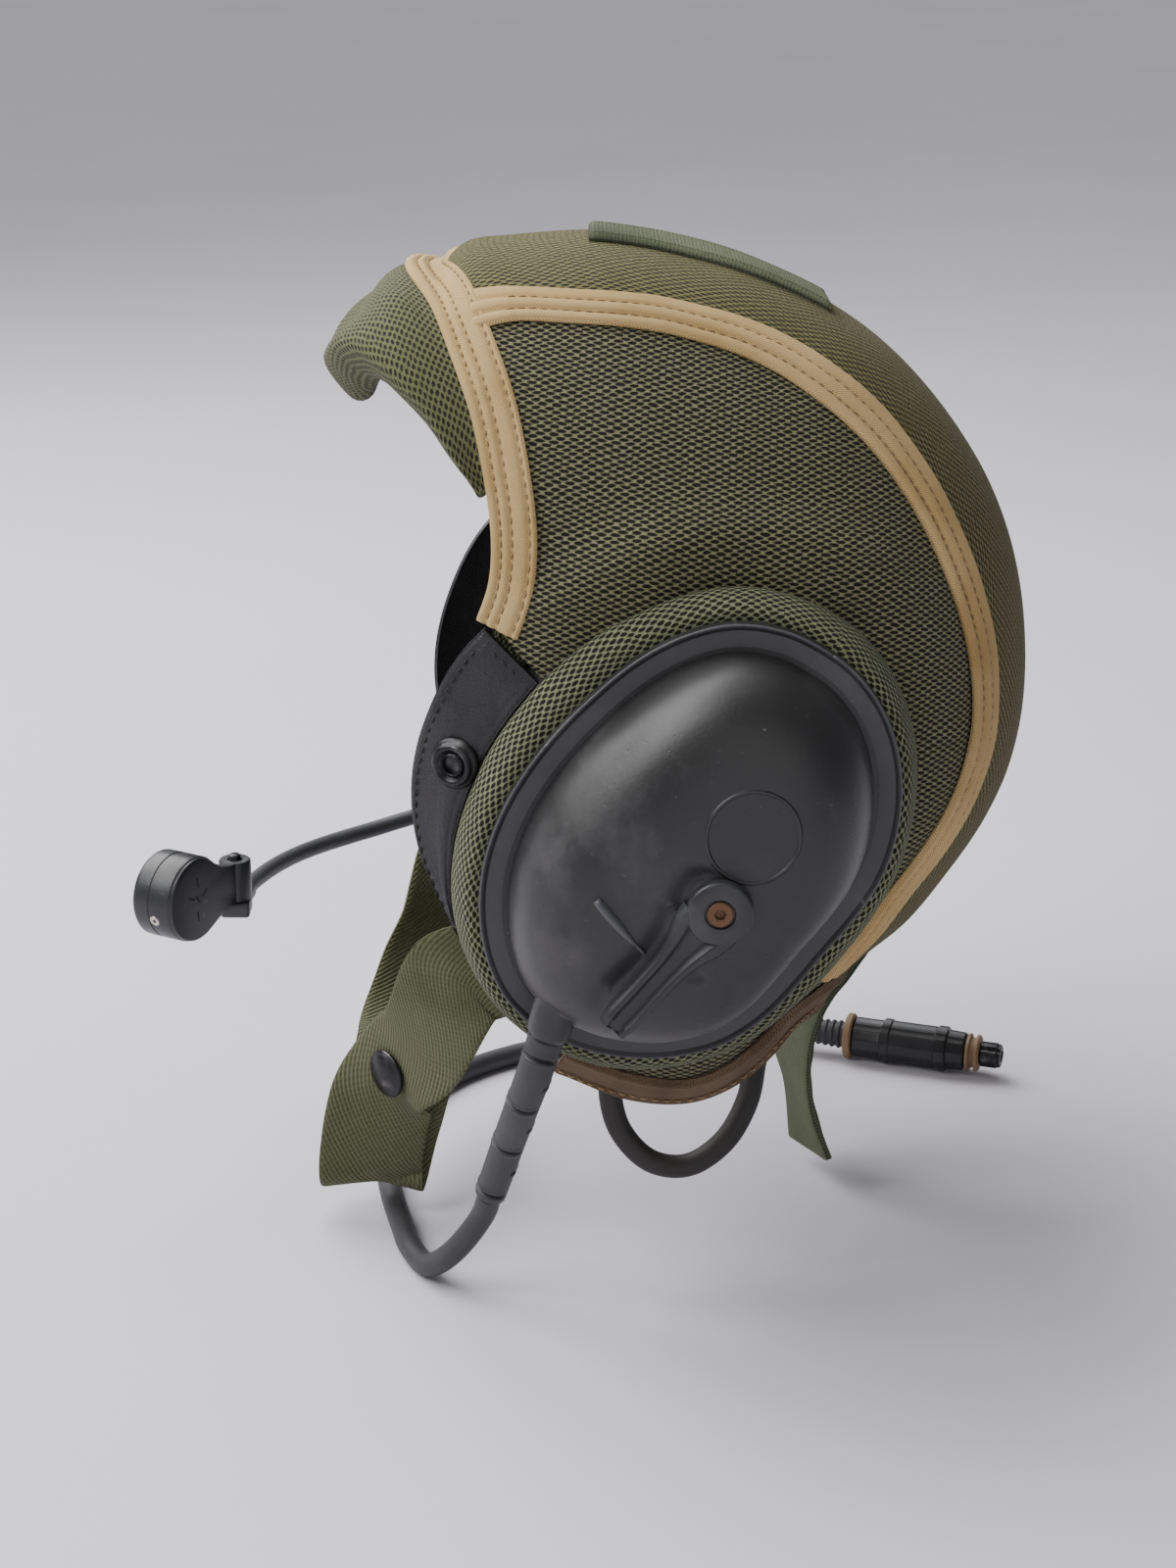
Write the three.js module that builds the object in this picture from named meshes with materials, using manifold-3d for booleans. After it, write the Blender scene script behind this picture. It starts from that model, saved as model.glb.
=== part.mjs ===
// Tanker helmet: a padded mesh cap with hard ear cups, chin strap, boom microphone and lead.
// Millimetres, +Z up, the wearer faces -Y, the wearer's left ear is at +X.
// The origin is where the top of the head touches the inside of the crown.
import * as THREE from "three";
import { mergeVertices } from "three/addons/utils/BufferGeometryUtils.js";
import Module from "manifold-3d";

// Driving sizes of the cap
const crownWall = 7;
const sideWall = 4;
const capHalfLength = 105;
const capHeight = 159.5;
const capHalfWidth = 84;
const earBack = 1.5;
const browPad = 14;
const seamGap = 0.6;
const fitGap = 0.3;
const bindingWidth = 13;
const bindingThick = 1.6;
const bindingLift = 0.5;
const patchWidth = 24;
const patchThick = 2;

// Driving sizes of the ear cups
const cupHalfLength = 70;
const cupHalfWidth = 54.5;
const cupTilt = 57;
const cupStandOff = 1.7;
const flangeWidth = 8;
const flangeThick = 3;
const domeRise = 31;
const shellWall = 2.5;
const surroundWidth = 8;
const surroundTuck = 6;
const surroundThick = 5;
const sealWidth = 15;
const sealDepth = 17;
const bossRadius = 6.5;
const bossLength = 15;

// Driving sizes of the boom arms and the microphone
const hubRadius = 9;
const hubBack = 6.9;
const hubDown = 2.8;
const armReach = 44;
const armWidth = 10;
const armThick = 2.4;
const armRidge = 1.4;
const armClear = 0.5;
const screwRadius = 3.6;
const screwHead = 1.6;
const ridgeAngle = 12.4;
const ridgeReach = 26.8;
const ridgeTurn = 40.4;
const ridgeLength = 18.5;
const ridgeWidth = 2.6;
const ridgeDepth = 4;
const ridgeProud = 1.1;
const leftArmAngle = 50;
const rightArmAngle = 75;
const boomRadius = 2.8;
const micRadius = 13.5;
const micDepth = 15;
const micArm = 23;
const micPlate = 4;
const micRise = 1;
const postRadius = 2;
const postClear = 0.4;
const knuckleRadius = 5;
const knuckleHeight = 13;
const postBlock = 5;

// Driving sizes of the leather tabs, straps and cords
const tabThick = 2.5;
const snapRadius = 7.5;
const snapHeight = 3.2;
const snapHole = 2.6;
const capHeadHeight = 3;
const snapLift = 2.1;
const strapWidth = 32;
const strapThick = 1.8;
const napeStrapWidth = 25;
const napeStrapThick = 2.6;
const leadRadius = 3.6;
const reliefRadius = 5.2;
const reliefGroove = 0.7;
const reliefTaper = 0.6;
const linkRadius = 3.5;
const plugRadius = 8;
const plugBody = 40;
const plugRing = 3;
const plugCollar = 5;
const plugTip = 7.5;
const floorDrop = 295;
const frontEndShare = 0.982;
const hemWidth = 12;
const tabStart = 1.4;
const tabEnd = 142;
const snapTurn = 102.5;
const snapReach = 15.2;
const strapTurn = 155;
const strapTuck = 1;
const plugTail = 15;

const cupSides = 28;
const earZ = crownWall - capHeight;
const flangeBack = capHalfWidth + cupStandOff;
const domeBase = flangeBack + flangeThick;
const domeTop = domeBase + domeRise;

// Radius of the cap over its plain oval, as a share, by the angle round the ear:
// 0 faces forward, 90 is the crown, 180 the back of the head, 270 straight down.
const capShares = [
  { angle: 0, share: 1.0, power: 2.4 },
  { angle: 30, share: 1.06, power: 2.4 },
  { angle: 45, share: 1.1, power: 2.4 },
  { angle: 52, share: 1.14, power: 2.4 },
  { angle: 58, share: 1.17, power: 2.4 },
  { angle: 63, share: 1.175, power: 2.4 },
  { angle: 66, share: 1.15, power: 2.4 },
  { angle: 70, share: 1.112, power: 2.4 },
  { angle: 75, share: 1.065, power: 2.4 },
  { angle: 80, share: 1.028, power: 2.4 },
  { angle: 85, share: 0.992, power: 2.4 },
  { angle: 90, share: 0.965, power: 2.4 },
  { angle: 95, share: 0.951, power: 2.4 },
  { angle: 101, share: 0.944, power: 2.4 },
  { angle: 107, share: 0.95, power: 2.4 },
  { angle: 114, share: 0.964, power: 2.36 },
  { angle: 122, share: 0.981, power: 2.3 },
  { angle: 129, share: 0.997, power: 2.25 },
  { angle: 136, share: 1.012, power: 2.19 },
  { angle: 145, share: 1.02, power: 2.12 },
  { angle: 155, share: 1.014, power: 2.1 },
  { angle: 168, share: 0.99, power: 2.1 },
  { angle: 178, share: 0.952, power: 2.1 },
  { angle: 187, share: 0.898, power: 2.1 },
  { angle: 199, share: 0.815, power: 2.1 },
  { angle: 211, share: 0.735, power: 2.2 },
  { angle: 221, share: 0.66, power: 2.3 },
  { angle: 232, share: 0.6, power: 2.4 },
  { angle: 243, share: 0.6, power: 2.4 },
  { angle: 254, share: 0.645, power: 2.4 },
  { angle: 267, share: 0.69, power: 2.4 },
  { angle: 280, share: 0.71, power: 2.4 },
  { angle: 293, share: 0.76, power: 2.4 },
  { angle: 310, share: 0.85, power: 2.4 },
  { angle: 330, share: 0.93, power: 2.4 },
  { angle: 345, share: 0.98, power: 2.4 },
  { angle: 360, share: 1.0, power: 2.4 },
];

// Extra share at the middle, where the brow stands up in front of the sunk front seam. It fades
// towards the ears.
const browSwell = [
  { angle: 0, swell: 0 },
  { angle: 52, swell: 0 },
  { angle: 57, swell: 0.025 },
  { angle: 60.5, swell: 0.046 },
  { angle: 62.8, swell: 0.012 },
  { angle: 64.5, swell: -0.018 },
  { angle: 66, swell: -0.006 },
  { angle: 68.5, swell: 0.004 },
  { angle: 73, swell: 0.004 },
  { angle: 80, swell: 0 },
  { angle: 360, swell: 0 },
];

// Reach of the flange's edge over its plain oval, by the turn round the cup: 0 is the cup's upper back
// end, 90 its front, 180 its lower front end. The sides are waisted.
const cupShares = [
  { turn: 0, share: 0.998 },
  { turn: 15, share: 1.012 },
  { turn: 30, share: 1.022 },
  { turn: 42, share: 1.008 },
  { turn: 55, share: 0.982 },
  { turn: 68, share: 0.953 },
  { turn: 80, share: 0.946 },
  { turn: 92, share: 0.952 },
  { turn: 105, share: 0.966 },
  { turn: 120, share: 0.978 },
  { turn: 140, share: 0.979 },
  { turn: 158, share: 0.972 },
  { turn: 172, share: 0.948 },
  { turn: 186, share: 0.925 },
  { turn: 202, share: 0.914 },
  { turn: 218, share: 0.92 },
  { turn: 231, share: 0.926 },
  { turn: 244, share: 0.905 },
  { turn: 256, share: 0.876 },
  { turn: 267, share: 0.866 },
  { turn: 278, share: 0.894 },
  { turn: 291, share: 0.94 },
  { turn: 306, share: 0.966 },
  { turn: 325, share: 0.985 },
  { turn: 345, share: 0.994 },
  { turn: 360, share: 0.998 },
];

// Width of the mesh surround outside the flange, as a share.
const surroundShares = [
  { turn: 0, share: 0.88 },
  { turn: 30, share: 0.95 },
  { turn: 48, share: 1.1 },
  { turn: 68, share: 1.36 },
  { turn: 90, share: 1.28 },
  { turn: 112, share: 1.12 },
  { turn: 135, share: 1.12 },
  { turn: 158, share: 1.05 },
  { turn: 180, share: 1.2 },
  { turn: 202, share: 1.28 },
  { turn: 225, share: 1.03 },
  { turn: 245, share: 1.16 },
  { turn: 262, share: 1.36 },
  { turn: 280, share: 1.16 },
  { turn: 300, share: 0.84 },
  { turn: 320, share: 0.78 },
  { turn: 345, share: 0.82 },
  { turn: 360, share: 0.88 },
];

// Centre lines of the bindings on the cap: angle round the ear, and lean from the middle to the ear.
const frontLine = [
  { angle: 63.6, lean: 0 },
  { angle: 65.6, lean: 18 },
  { angle: 66, lean: 31 },
  { angle: 65.8, lean: 41 },
  { angle: 63.9, lean: 50.9 },
  { angle: 60.5, lean: 57.4 },
  { angle: 55.5, lean: 60 },
  { angle: 46, lean: 59.3 },
];
const sideLine = [
  { angle: 66, lean: 23 },
  { angle: 71.2, lean: 24.4 },
  { angle: 79, lean: 26.7 },
  { angle: 89.5, lean: 26.5 },
  { angle: 100.6, lean: 26.9 },
  { angle: 107.2, lean: 28.3 },
  { angle: 115.5, lean: 30 },
  { angle: 124.9, lean: 32 },
  { angle: 134.9, lean: 33.8 },
  { angle: 147.8, lean: 34.2 },
  { angle: 161.2, lean: 35 },
  { angle: 173.4, lean: 38.2 },
  { angle: 190.4, lean: 42.3 },
  { angle: 207, lean: 43 },
  { angle: 222, lean: 39 },
  { angle: 237, lean: 30 },
];
const hemLine = [
  { angle: 231, lean: 0 },
  { angle: 233, lean: 15 },
  { angle: 237, lean: 30 },
  { angle: 246, lean: 41 },
  { angle: 260, lean: 45.5 },
  { angle: 272, lean: 46.5 },
  { angle: 284, lean: 47 },
  { angle: 297, lean: 47.6 },
];
// Lower edge of the brow pad, and how thick the pad is there, as a share of the full pad.
const browLine = [
  { angle: 49.5, lean: 0, pad: 1 },
  { angle: 51.8, lean: 8, pad: 0.97 },
  { angle: 54.2, lean: 15, pad: 0.88 },
  { angle: 56.2, lean: 24, pad: 0.7 },
  { angle: 57.6, lean: 33, pad: 0.52 },
  { angle: 58.4, lean: 42, pad: 0.36 },
  { angle: 59.1, lean: 50, pad: 0.22 },
];
// Outer side of the ear cup: reach from the middle and rise, as shares of the dome.
const domeRows = [
  { reach: 1, rise: 0 },
  { reach: 0.985, rise: 0.3 },
  { reach: 0.94, rise: 0.58 },
  { reach: 0.85, rise: 0.8 },
  { reach: 0.7, rise: 0.93 },
  { reach: 0.42, rise: 0.985 },
];

// Closed body through rings with the same number of points. Its ends are closed by strips,
// or run to a tip where one is given. With loop, the last ring joins the first.
function loft(rings, { loop = false, tips = [null, null] } = {}) {
  const count = rings[0].length;
  const points = rings.flat();
  const faces = [];
  const spans = loop ? rings.length : rings.length - 1;
  for (let i = 0; i < spans; i += 1) {
    const here = i * count;
    const next = ((i + 1) % rings.length) * count;
    for (let j = 0; j < count; j += 1) {
      const k = (j + 1) % count;
      faces.push([here + j, here + k, next + k], [here + j, next + k, next + j]);
    }
  }
  if (!loop) {
    [0, rings.length - 1].forEach((ring, end) => {
      const base = ring * count;
      const side = (a, b, c) => faces.push(end ? [a, b, c] : [a, c, b]);
      if (tips[end]) {
        points.push(tips[end]);
        for (let j = 0; j < count; j += 1) {
          side(points.length - 1, base + j, base + ((j + 1) % count));
        }
        return;
      }
      for (let j = 0; j < count / 2 - 1; j += 1) {
        const far = count - 1 - j;
        side(base + j, base + j + 1, base + far - 1);
        side(base + j, base + far - 1, base + far);
      }
    });
  }
  return facingOut(points, faces);
}

// Indexed geometry whose faces point out of the body.
function facingOut(points, faces) {
  const geometry = new THREE.BufferGeometry();
  const places = points.flatMap((p) => p.toArray());
  geometry.setAttribute("position", new THREE.Float32BufferAttribute(places, 3));
  const cross = new THREE.Vector3();
  const volume = faces.reduce((sum, f) => {
    const [a, b, c] = f.map((i) => points[i]);
    return sum + a.dot(cross.crossVectors(b, c));
  }, 0);
  const turned = volume < 0 ? faces.map(([a, b, c]) => [a, c, b]) : faces;
  geometry.setIndex(turned.flat());
  geometry.computeVertexNormals();
  return geometry;
}

// The same body on the other side of the wearer.
function mirrored(geometry) {
  const copy = geometry.clone();
  copy.applyMatrix4(new THREE.Matrix4().makeScale(-1, 1, 1));
  const index = copy.index.array;
  for (let i = 0; i < index.length; i += 3) {
    const second = index[i + 1];
    index[i + 1] = index[i + 2];
    index[i + 2] = second;
  }
  copy.computeVertexNormals();
  return copy;
}

const wasm = await Module();
wasm.setup();

function solidOf(geometry) {
  const bare = geometry.clone();
  bare.deleteAttribute("normal");
  bare.deleteAttribute("uv");
  const merged = mergeVertices(bare, 1e-4);
  return new wasm.Manifold(
    new wasm.Mesh({
      numProp: 3,
      vertProperties: new Float32Array(merged.attributes.position.array),
      triVerts: new Uint32Array(merged.index.array),
    }),
  );
}

function geometryOf(solid) {
  const mesh = solid.getMesh();
  const geometry = new THREE.BufferGeometry();
  geometry.setAttribute("position", new THREE.BufferAttribute(new Float32Array(mesh.vertProperties), 3));
  geometry.setIndex([...mesh.triVerts]);
  geometry.computeVertexNormals();
  return geometry;
}

function joined(...geometries) {
  return geometryOf(geometries.map(solidOf).reduce((whole, piece) => whole.add(piece)));
}

function cutBy(geometry, ...tools) {
  return geometryOf(tools.map(solidOf).reduce((whole, tool) => whole.subtract(tool), solidOf(geometry)));
}

const radians = THREE.MathUtils.degToRad;
const mix = THREE.MathUtils.lerp;

// Smooth value of a column at a place along a table whose rows rise in the key column.
function along(table, key, column, at) {
  const last = table.length - 1;
  const row = Math.min(Math.max(table.findIndex((r) => r[key] > at) - 1, 0), last - 1);
  const i = at >= table[last][key] ? last - 1 : row;
  const slope = (k) => {
    if (k <= 0 || k >= last) return 0;
    return (table[k + 1][column] - table[k - 1][column]) / (table[k + 1][key] - table[k - 1][key]);
  };
  const span = table[i + 1][key] - table[i][key];
  const t = Math.min(Math.max((at - table[i][key]) / span, 0), 1);
  const rise = t * t * (3 - 2 * t);
  return (
    table[i][column] * (1 - rise) +
    table[i + 1][column] * rise +
    span * (t * (1 - t) ** 2 * slope(i) - t * t * (1 - t) * slope(i + 1))
  );
}

function capRadius(angle, lean) {
  const turn = ((angle % 360) + 360) % 360;
  const a = radians(turn);
  const plain = 1 / Math.hypot(Math.cos(a) / capHalfLength, Math.sin(a) / capHeight);
  const swell = along(browSwell, "angle", "swell", turn) * Math.cos(radians(lean)) ** 8;
  return plain * (along(capShares, "angle", "share", turn) + swell);
}

function capPower(angle) {
  return along(capShares, "angle", "power", ((angle % 360) + 360) % 360);
}

function capSkin(angle, lean) {
  const power = 2 / capPower(angle);
  const t = radians(Math.abs(lean));
  const radius = capRadius(angle, lean) * Math.cos(t) ** power;
  const a = radians(angle);
  return new THREE.Vector3(
    Math.sign(lean) * capHalfWidth * Math.sin(t) ** power,
    earBack - radius * Math.cos(a),
    earZ + radius * Math.sin(a),
  );
}

// A point of the cap, lifted off its outer skin, or sunk below it where lift is negative.
function capPoint(angle, lean, lift = 0) {
  const step = 1.5;
  const alongAngle = capSkin(angle + step, lean).sub(capSkin(angle - step, lean));
  const alongLean = capSkin(angle, lean + step).sub(capSkin(angle, lean - step));
  const out = alongLean.cross(alongAngle).normalize();
  const skin = capSkin(angle, lean);
  const middle = new THREE.Vector3(0, earBack, earZ);
  if (out.dot(skin.clone().sub(middle)) < 0) out.negate();
  return skin.addScaledVector(out, lift);
}

// The nearest place on the cap to a point beside it.
function capPlace(point) {
  const angle = THREE.MathUtils.radToDeg(Math.atan2(point.z - earZ, earBack - point.y));
  const half = capPower(angle) / 2;
  const across = (Math.abs(point.x) / capHalfWidth) ** half;
  let lean = 45;
  for (let i = 0; i < 4; i += 1) {
    const up = (Math.hypot(point.y - earBack, point.z - earZ) / capRadius(angle, lean)) ** half;
    lean = THREE.MathUtils.radToDeg(Math.atan2(across, up));
  }
  return { angle: (angle + 360) % 360, lean: point.x < 0 ? -lean : lean };
}

// The point of the left side of the cap that lies over a place seen from the side.
function capOver(y, z, lift = 0) {
  const angle = THREE.MathUtils.radToDeg(Math.atan2(z - earZ, earBack - y));
  let lean = 45;
  for (let i = 0; i < 4; i += 1) {
    const share = Math.min(Math.hypot(y - earBack, z - earZ) / capRadius(angle, lean), 0.995);
    lean = THREE.MathUtils.radToDeg(Math.acos(share ** (capPower(angle) / 2)));
  }
  return capPoint(angle, lean, lift);
}

function lineOf(rows) {
  return new THREE.CatmullRomCurve3(rows.map((row) => capSkin(row.angle, row.lean)), false, "centripetal");
}

const other = (rows) => rows.slice(1).reverse().map((row) => ({ ...row, lean: -row.lean }));

// A strip of cloth that lies on the cap along a line.
function capStrip(curve, { width, thick, lift, steps, across = 2, from = 0, to = 1 }) {
  const rings = [];
  for (let i = 0; i <= steps; i += 1) {
    const u = mix(from, to, i / steps);
    const place = curve.getPointAt(u);
    const way = curve.getTangentAt(u);
    const at = capPlace(place);
    const out = capPoint(at.angle, at.lean, 1).sub(capPoint(at.angle, at.lean, 0));
    const side = out.cross(way).normalize();
    const row = (height) =>
      Array.from({ length: across + 1 }, (_, j) => {
        const spot = capPlace(place.clone().addScaledVector(side, (j / across - 0.5) * width));
        return capPoint(spot.angle, spot.lean, height);
      });
    rings.push([...row(lift + thick), ...row(lift).reverse()]);
  }
  return loft(rings);
}

function cupShare(turn) {
  return along(cupShares, "turn", "share", ((turn % 360) + 360) % 360);
}

// A point seen from the side, a distance outside the edge of the ear cup's flange.
function aroundCup(turn, outside = 0) {
  const lean = radians(cupTilt);
  const step = 4;
  const edge = (at) => {
    const share = cupShare(at);
    return [Math.cos(radians(at)) * cupHalfLength * share, Math.sin(radians(at)) * cupHalfWidth * share];
  };
  const before = edge(turn - step);
  const after = edge(turn + step);
  const way = [after[0] - before[0], after[1] - before[1]];
  const size = Math.hypot(...way);
  const u = edge(turn)[0] + (way[1] / size) * outside;
  const v = edge(turn)[1] - (way[0] / size) * outside;
  return {
    y: earBack + u * Math.cos(lean) - v * Math.sin(lean),
    z: earZ + u * Math.sin(lean) + v * Math.cos(lean),
  };
}

// Turn round the ear cup at which a place seen from the side lies.
function turnOf(y, z) {
  const lean = radians(cupTilt);
  const u = (y - earBack) * Math.cos(lean) + (z - earZ) * Math.sin(lean);
  const v = -(y - earBack) * Math.sin(lean) + (z - earZ) * Math.cos(lean);
  let t = Math.atan2(v / cupHalfWidth, u / cupHalfLength);
  for (let i = 0; i < 8; i += 1) {
    const at = [cupHalfLength * Math.cos(t), cupHalfWidth * Math.sin(t)];
    const way = [-cupHalfLength * Math.sin(t), cupHalfWidth * Math.cos(t)];
    const off = [u - at[0], v - at[1]];
    const slope = way[0] ** 2 + way[1] ** 2 + off[0] * at[0] + off[1] * at[1];
    t += (off[0] * way[0] + off[1] * way[1]) / slope;
  }
  return THREE.MathUtils.radToDeg(t);
}

function surroundEdge(turn) {
  return surroundWidth * along(surroundShares, "turn", "share", ((turn % 360) + 360) % 360);
}

// Ring of points inside or outside the flange's edge. With even, the waist is evened out.
function cupRing(x, outside, scale = 1, even = 0) {
  return Array.from({ length: cupSides }, (_, i) => {
    const turn = (360 * i) / cupSides;
    const spare = even * (1 - cupShare(turn)) * cupHalfWidth;
    const { y, z } = aroundCup(turn, outside + spare);
    return new THREE.Vector3(x, mix(earBack, y, scale), mix(earZ, z, scale));
  });
}

// Straight bar or tapered pin between two points.
function pin(from, to, radius, endRadius = radius, sides = 16) {
  const way = to.clone().sub(from);
  const geometry = new THREE.CylinderGeometry(endRadius, radius, way.length(), sides);
  const upright = new THREE.Vector3(0, 1, 0);
  const turn = new THREE.Quaternion().setFromUnitVectors(upright, way.clone().normalize());
  geometry.applyQuaternion(turn);
  geometry.translate(...from.clone().add(to).multiplyScalar(0.5).toArray());
  return geometry;
}

function tube(points, radius, steps, sides = 10) {
  const path = new THREE.CatmullRomCurve3(points, false, "centripetal");
  const section = new THREE.Shape();
  for (let i = 0; i < sides; i += 1) {
    const a = (2 * Math.PI * i) / sides;
    const move = i ? "lineTo" : "moveTo";
    section[move](radius * Math.cos(a), radius * Math.sin(a));
  }
  section.closePath();
  return new THREE.ExtrudeGeometry(section, { steps, extrudePath: path, curveSegments: 1 });
}

// Place, width direction and face direction at a share of a strap's length.
function strapFrame(rows, share) {
  const path = new THREE.CatmullRomCurve3(rows.map((row) => row.at), false, "centripetal");
  const widths = new THREE.CatmullRomCurve3(rows.map((row) => row.wide), false, "centripetal");
  const t = path.getUtoTmapping(share);
  const way = path.getTangent(t);
  const wide = widths.getPoint(t);
  wide.addScaledVector(way, -wide.dot(way)).normalize();
  return { at: path.getPoint(t), wide, out: wide.clone().cross(way).normalize() };
}

// A flat strap along a path, with the direction of its width given at each point.
function ribbon(rows, width, thick, steps) {
  const rings = [];
  for (let i = 0; i <= steps; i += 1) {
    const { at, wide, out } = strapFrame(rows, i / steps);
    const corner = (a, b) => at.clone().addScaledVector(wide, a * width).addScaledVector(out, b * thick);
    rings.push([corner(-0.5, 0.5), corner(0.5, 0.5), corner(0.5, -0.5), corner(-0.5, -0.5)]);
  }
  return loft(rings);
}

const v3 = (x, y, z) => new THREE.Vector3(x, y, z);

// Materials
function finish(color, roughness, metalness = 0) {
  return new THREE.MeshStandardMaterial({ color, roughness, metalness });
}
const oliveMesh = finish(0x3a3d24, 0.95);
const tanCotton = finish(0x8f7752, 0.9);
const oliveWebbing = finish(0x444a2b, 0.9);
const greenTape = finish(0x2b3a22, 0.95);
const blackPlastic = finish(0x25262a, 0.55);
const blackLeather = finish(0x17171a, 0.45);
const darkRubber = finish(0x2a2b2f, 0.6);
const darkMetal = finish(0x2c2c2c, 0.4, 0.8);
const rustyBrass = finish(0x6b4a2c, 0.55, 0.7);

const helmet = new THREE.Group();
function add(name, geometry, material, parent = helmet) {
  const mesh = new THREE.Mesh(geometry, material);
  mesh.name = name;
  parent.add(mesh);
  return mesh;
}
function addPair(name, geometry, material) {
  add(name + "_left", geometry, material);
  add(name + "_right", mirrored(geometry), material);
}

// Cap

const frontCurve = lineOf([...other(frontLine), ...frontLine]);
const sideCurve = lineOf(sideLine);
const hemCurve = lineOf([...other(hemLine), ...hemLine]);

// Lean of the side seam at an angle round the ear, and angle of the front and hem seams at a lean.
const seamLean = (angle) => along(sideLine, "angle", "lean", angle);
const frontAngle = (lean) => along(frontLine.slice(0, 5), "lean", "angle", Math.abs(lean));
const hemAngle = (lean) => along(hemLine.slice(0, 4), "lean", "angle", Math.abs(lean));

// Share of a curve's length at which it passes nearest to a point.
function shareNear(curve, point) {
  const tries = 400;
  let best = 0;
  let least = Infinity;
  for (let i = 0; i <= tries; i += 1) {
    const gap = curve.getPointAt(i / tries).distanceTo(point);
    if (gap < least) {
      least = gap;
      best = i / tries;
    }
  }
  return best;
}

function crownPanel() {
  const lengthSteps = 28;
  const acrossSteps = 10;
  const edgeGap = 0.35;
  const [start, end] = [sideLine[0], sideLine[sideLine.length - 1]];
  const rings = [];
  for (let i = 0; i <= lengthSteps; i += 1) {
    const share = i / lengthSteps;
    const row = (lift) =>
      Array.from({ length: acrossSteps + 1 }, (_, j) => {
        const v = (2 * j) / acrossSteps - 1;
        const edge = mix(frontAngle(start.lean), hemAngle(end.lean), share);
        const angle = mix(frontAngle(v * start.lean) + edgeGap, hemAngle(v * end.lean) - edgeGap, share);
        return capPoint(angle, v * (seamLean(edge) - edgeGap), lift);
      });
    rings.push([...row(0), ...row(-crownWall).reverse()]);
  }
  return loft(rings);
}
add("crown_panel", crownPanel(), oliveMesh);

// Edge of a side panel: up the front binding, back along the side binding, and under the ear.
function sidePanel() {
  const hem = lineOf(hemLine);
  const corner = sideLine[sideLine.length - 1];
  const frontShare = shareNear(frontCurve, sideCurve.getPointAt(0));
  const hemShare = shareNear(hem, capSkin(corner.angle, corner.lean));
  const frontSteps = 7;
  const sideSteps = 17;
  const hemSteps = 6;
  const edge = [];
  for (let i = 0; i < frontSteps; i += 1) {
    edge.push(frontCurve.getPointAt(mix(frontEndShare, frontShare, i / frontSteps)));
  }
  for (let i = 0; i <= sideSteps; i += 1) edge.push(sideCurve.getPointAt(i / sideSteps));
  for (let i = 1; i <= hemSteps; i += 1) edge.push(hem.getPointAt(mix(hemShare, 1, i / hemSteps)));
  const acrossSteps = 5;
  const rings = edge.map((place) => {
    const turn = turnOf(place.y, place.z);
    const cup = aroundCup(turn, surroundEdge(turn));
    const first = seamGap / Math.hypot(cup.y - place.y, cup.z - place.z);
    const row = (lift) =>
      Array.from({ length: acrossSteps + 1 }, (_, j) => {
        const share = mix(first, 1, j / acrossSteps);
        return capOver(mix(place.y, cup.y, share), mix(place.z, cup.z, share), lift);
      });
    return [...row(0), ...row(-sideWall).reverse()];
  });
  return loft(rings);
}
addPair("side_panel", sidePanel(), oliveMesh);

function browPanel() {
  const steps = 18;
  const lastLean = browLine[browLine.length - 1].lean;
  const rings = [];
  for (let i = 0; i <= steps; i += 1) {
    const lean = mix(-lastLean, lastLean, i / steps);
    const flat = Math.abs(lean);
    const low = along(browLine, "lean", "angle", flat);
    const pad = browPad * along(browLine, "lean", "pad", flat);
    const top = frontAngle(lean) - 0.25;
    const at = (share, lift) => capPoint(mix(low, top, share), lean, lift);
    const length = at(0, 0).distanceTo(at(1, 0));
    const free = 1 - Math.min((bindingWidth / 2 + 1) / length, 0.85);
    rings.push([
      at(1, 0),
      at(free, 0),
      at(0.8 * free, 0.2 * pad),
      at(0.58 * free, 0.5 * pad),
      at(0.36 * free, 0.95 * pad),
      at(0.28 * free, pad),
      at(0.12 * free, 0.7 * pad),
      at(0, 0.15 * pad),
      at(0.05, -0.5 * sideWall),
      at(0.4, -sideWall),
      at(1, -sideWall),
    ]);
  }
  return loft(rings);
}
add("brow_panel", browPanel(), oliveMesh);

const strip = { width: bindingWidth, thick: bindingThick, lift: bindingLift };
const frontStrip = { ...strip, steps: 36, from: 1 - frontEndShare, to: frontEndShare };
add("front_binding", capStrip(frontCurve, frontStrip), tanCotton);
addPair("side_binding", capStrip(sideCurve, { ...strip, steps: 28, from: 0.032, to: 0.962 }), tanCotton);
add("nape_hem", capStrip(hemCurve, { ...strip, width: hemWidth, steps: 26 }), tanCotton);

const patchCurve = new THREE.CatmullRomCurve3([80, 86, 93, 100, 106.5].map((angle) => capSkin(angle, 0)));
const patch = { width: patchWidth, thick: patchThick, lift: fitGap, steps: 7, across: 3 };
add("crown_patch", capStrip(patchCurve, patch), greenTape);

// Ear cups

function earSurround() {
  const top = flangeBack - fitGap;
  const rings = Array.from({ length: cupSides }, (_, i) => {
    const turn = (360 * i) / cupSides;
    const width = surroundEdge(turn);
    const rim = aroundCup(turn, width - seamGap);
    const skin = capOver(rim.y, rim.z);
    const at = (outside, x) => {
      const { y, z } = aroundCup(turn, outside);
      return new THREE.Vector3(x, y, z);
    };
    return [
      skin,
      at(0.72 * width, mix(skin.x, top, 0.55)),
      at(0.3 * width, mix(skin.x, top, 0.94)),
      at(-surroundTuck, top),
      at(-surroundTuck, top - surroundThick),
      at(0.1 * width, mix(skin.x, top, 0.45) - sideWall),
      capOver(rim.y, rim.z, -sideWall),
    ];
  });
  return loft(rings, { loop: true });
}
addPair("ear_surround", earSurround(), oliveMesh);

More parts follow.
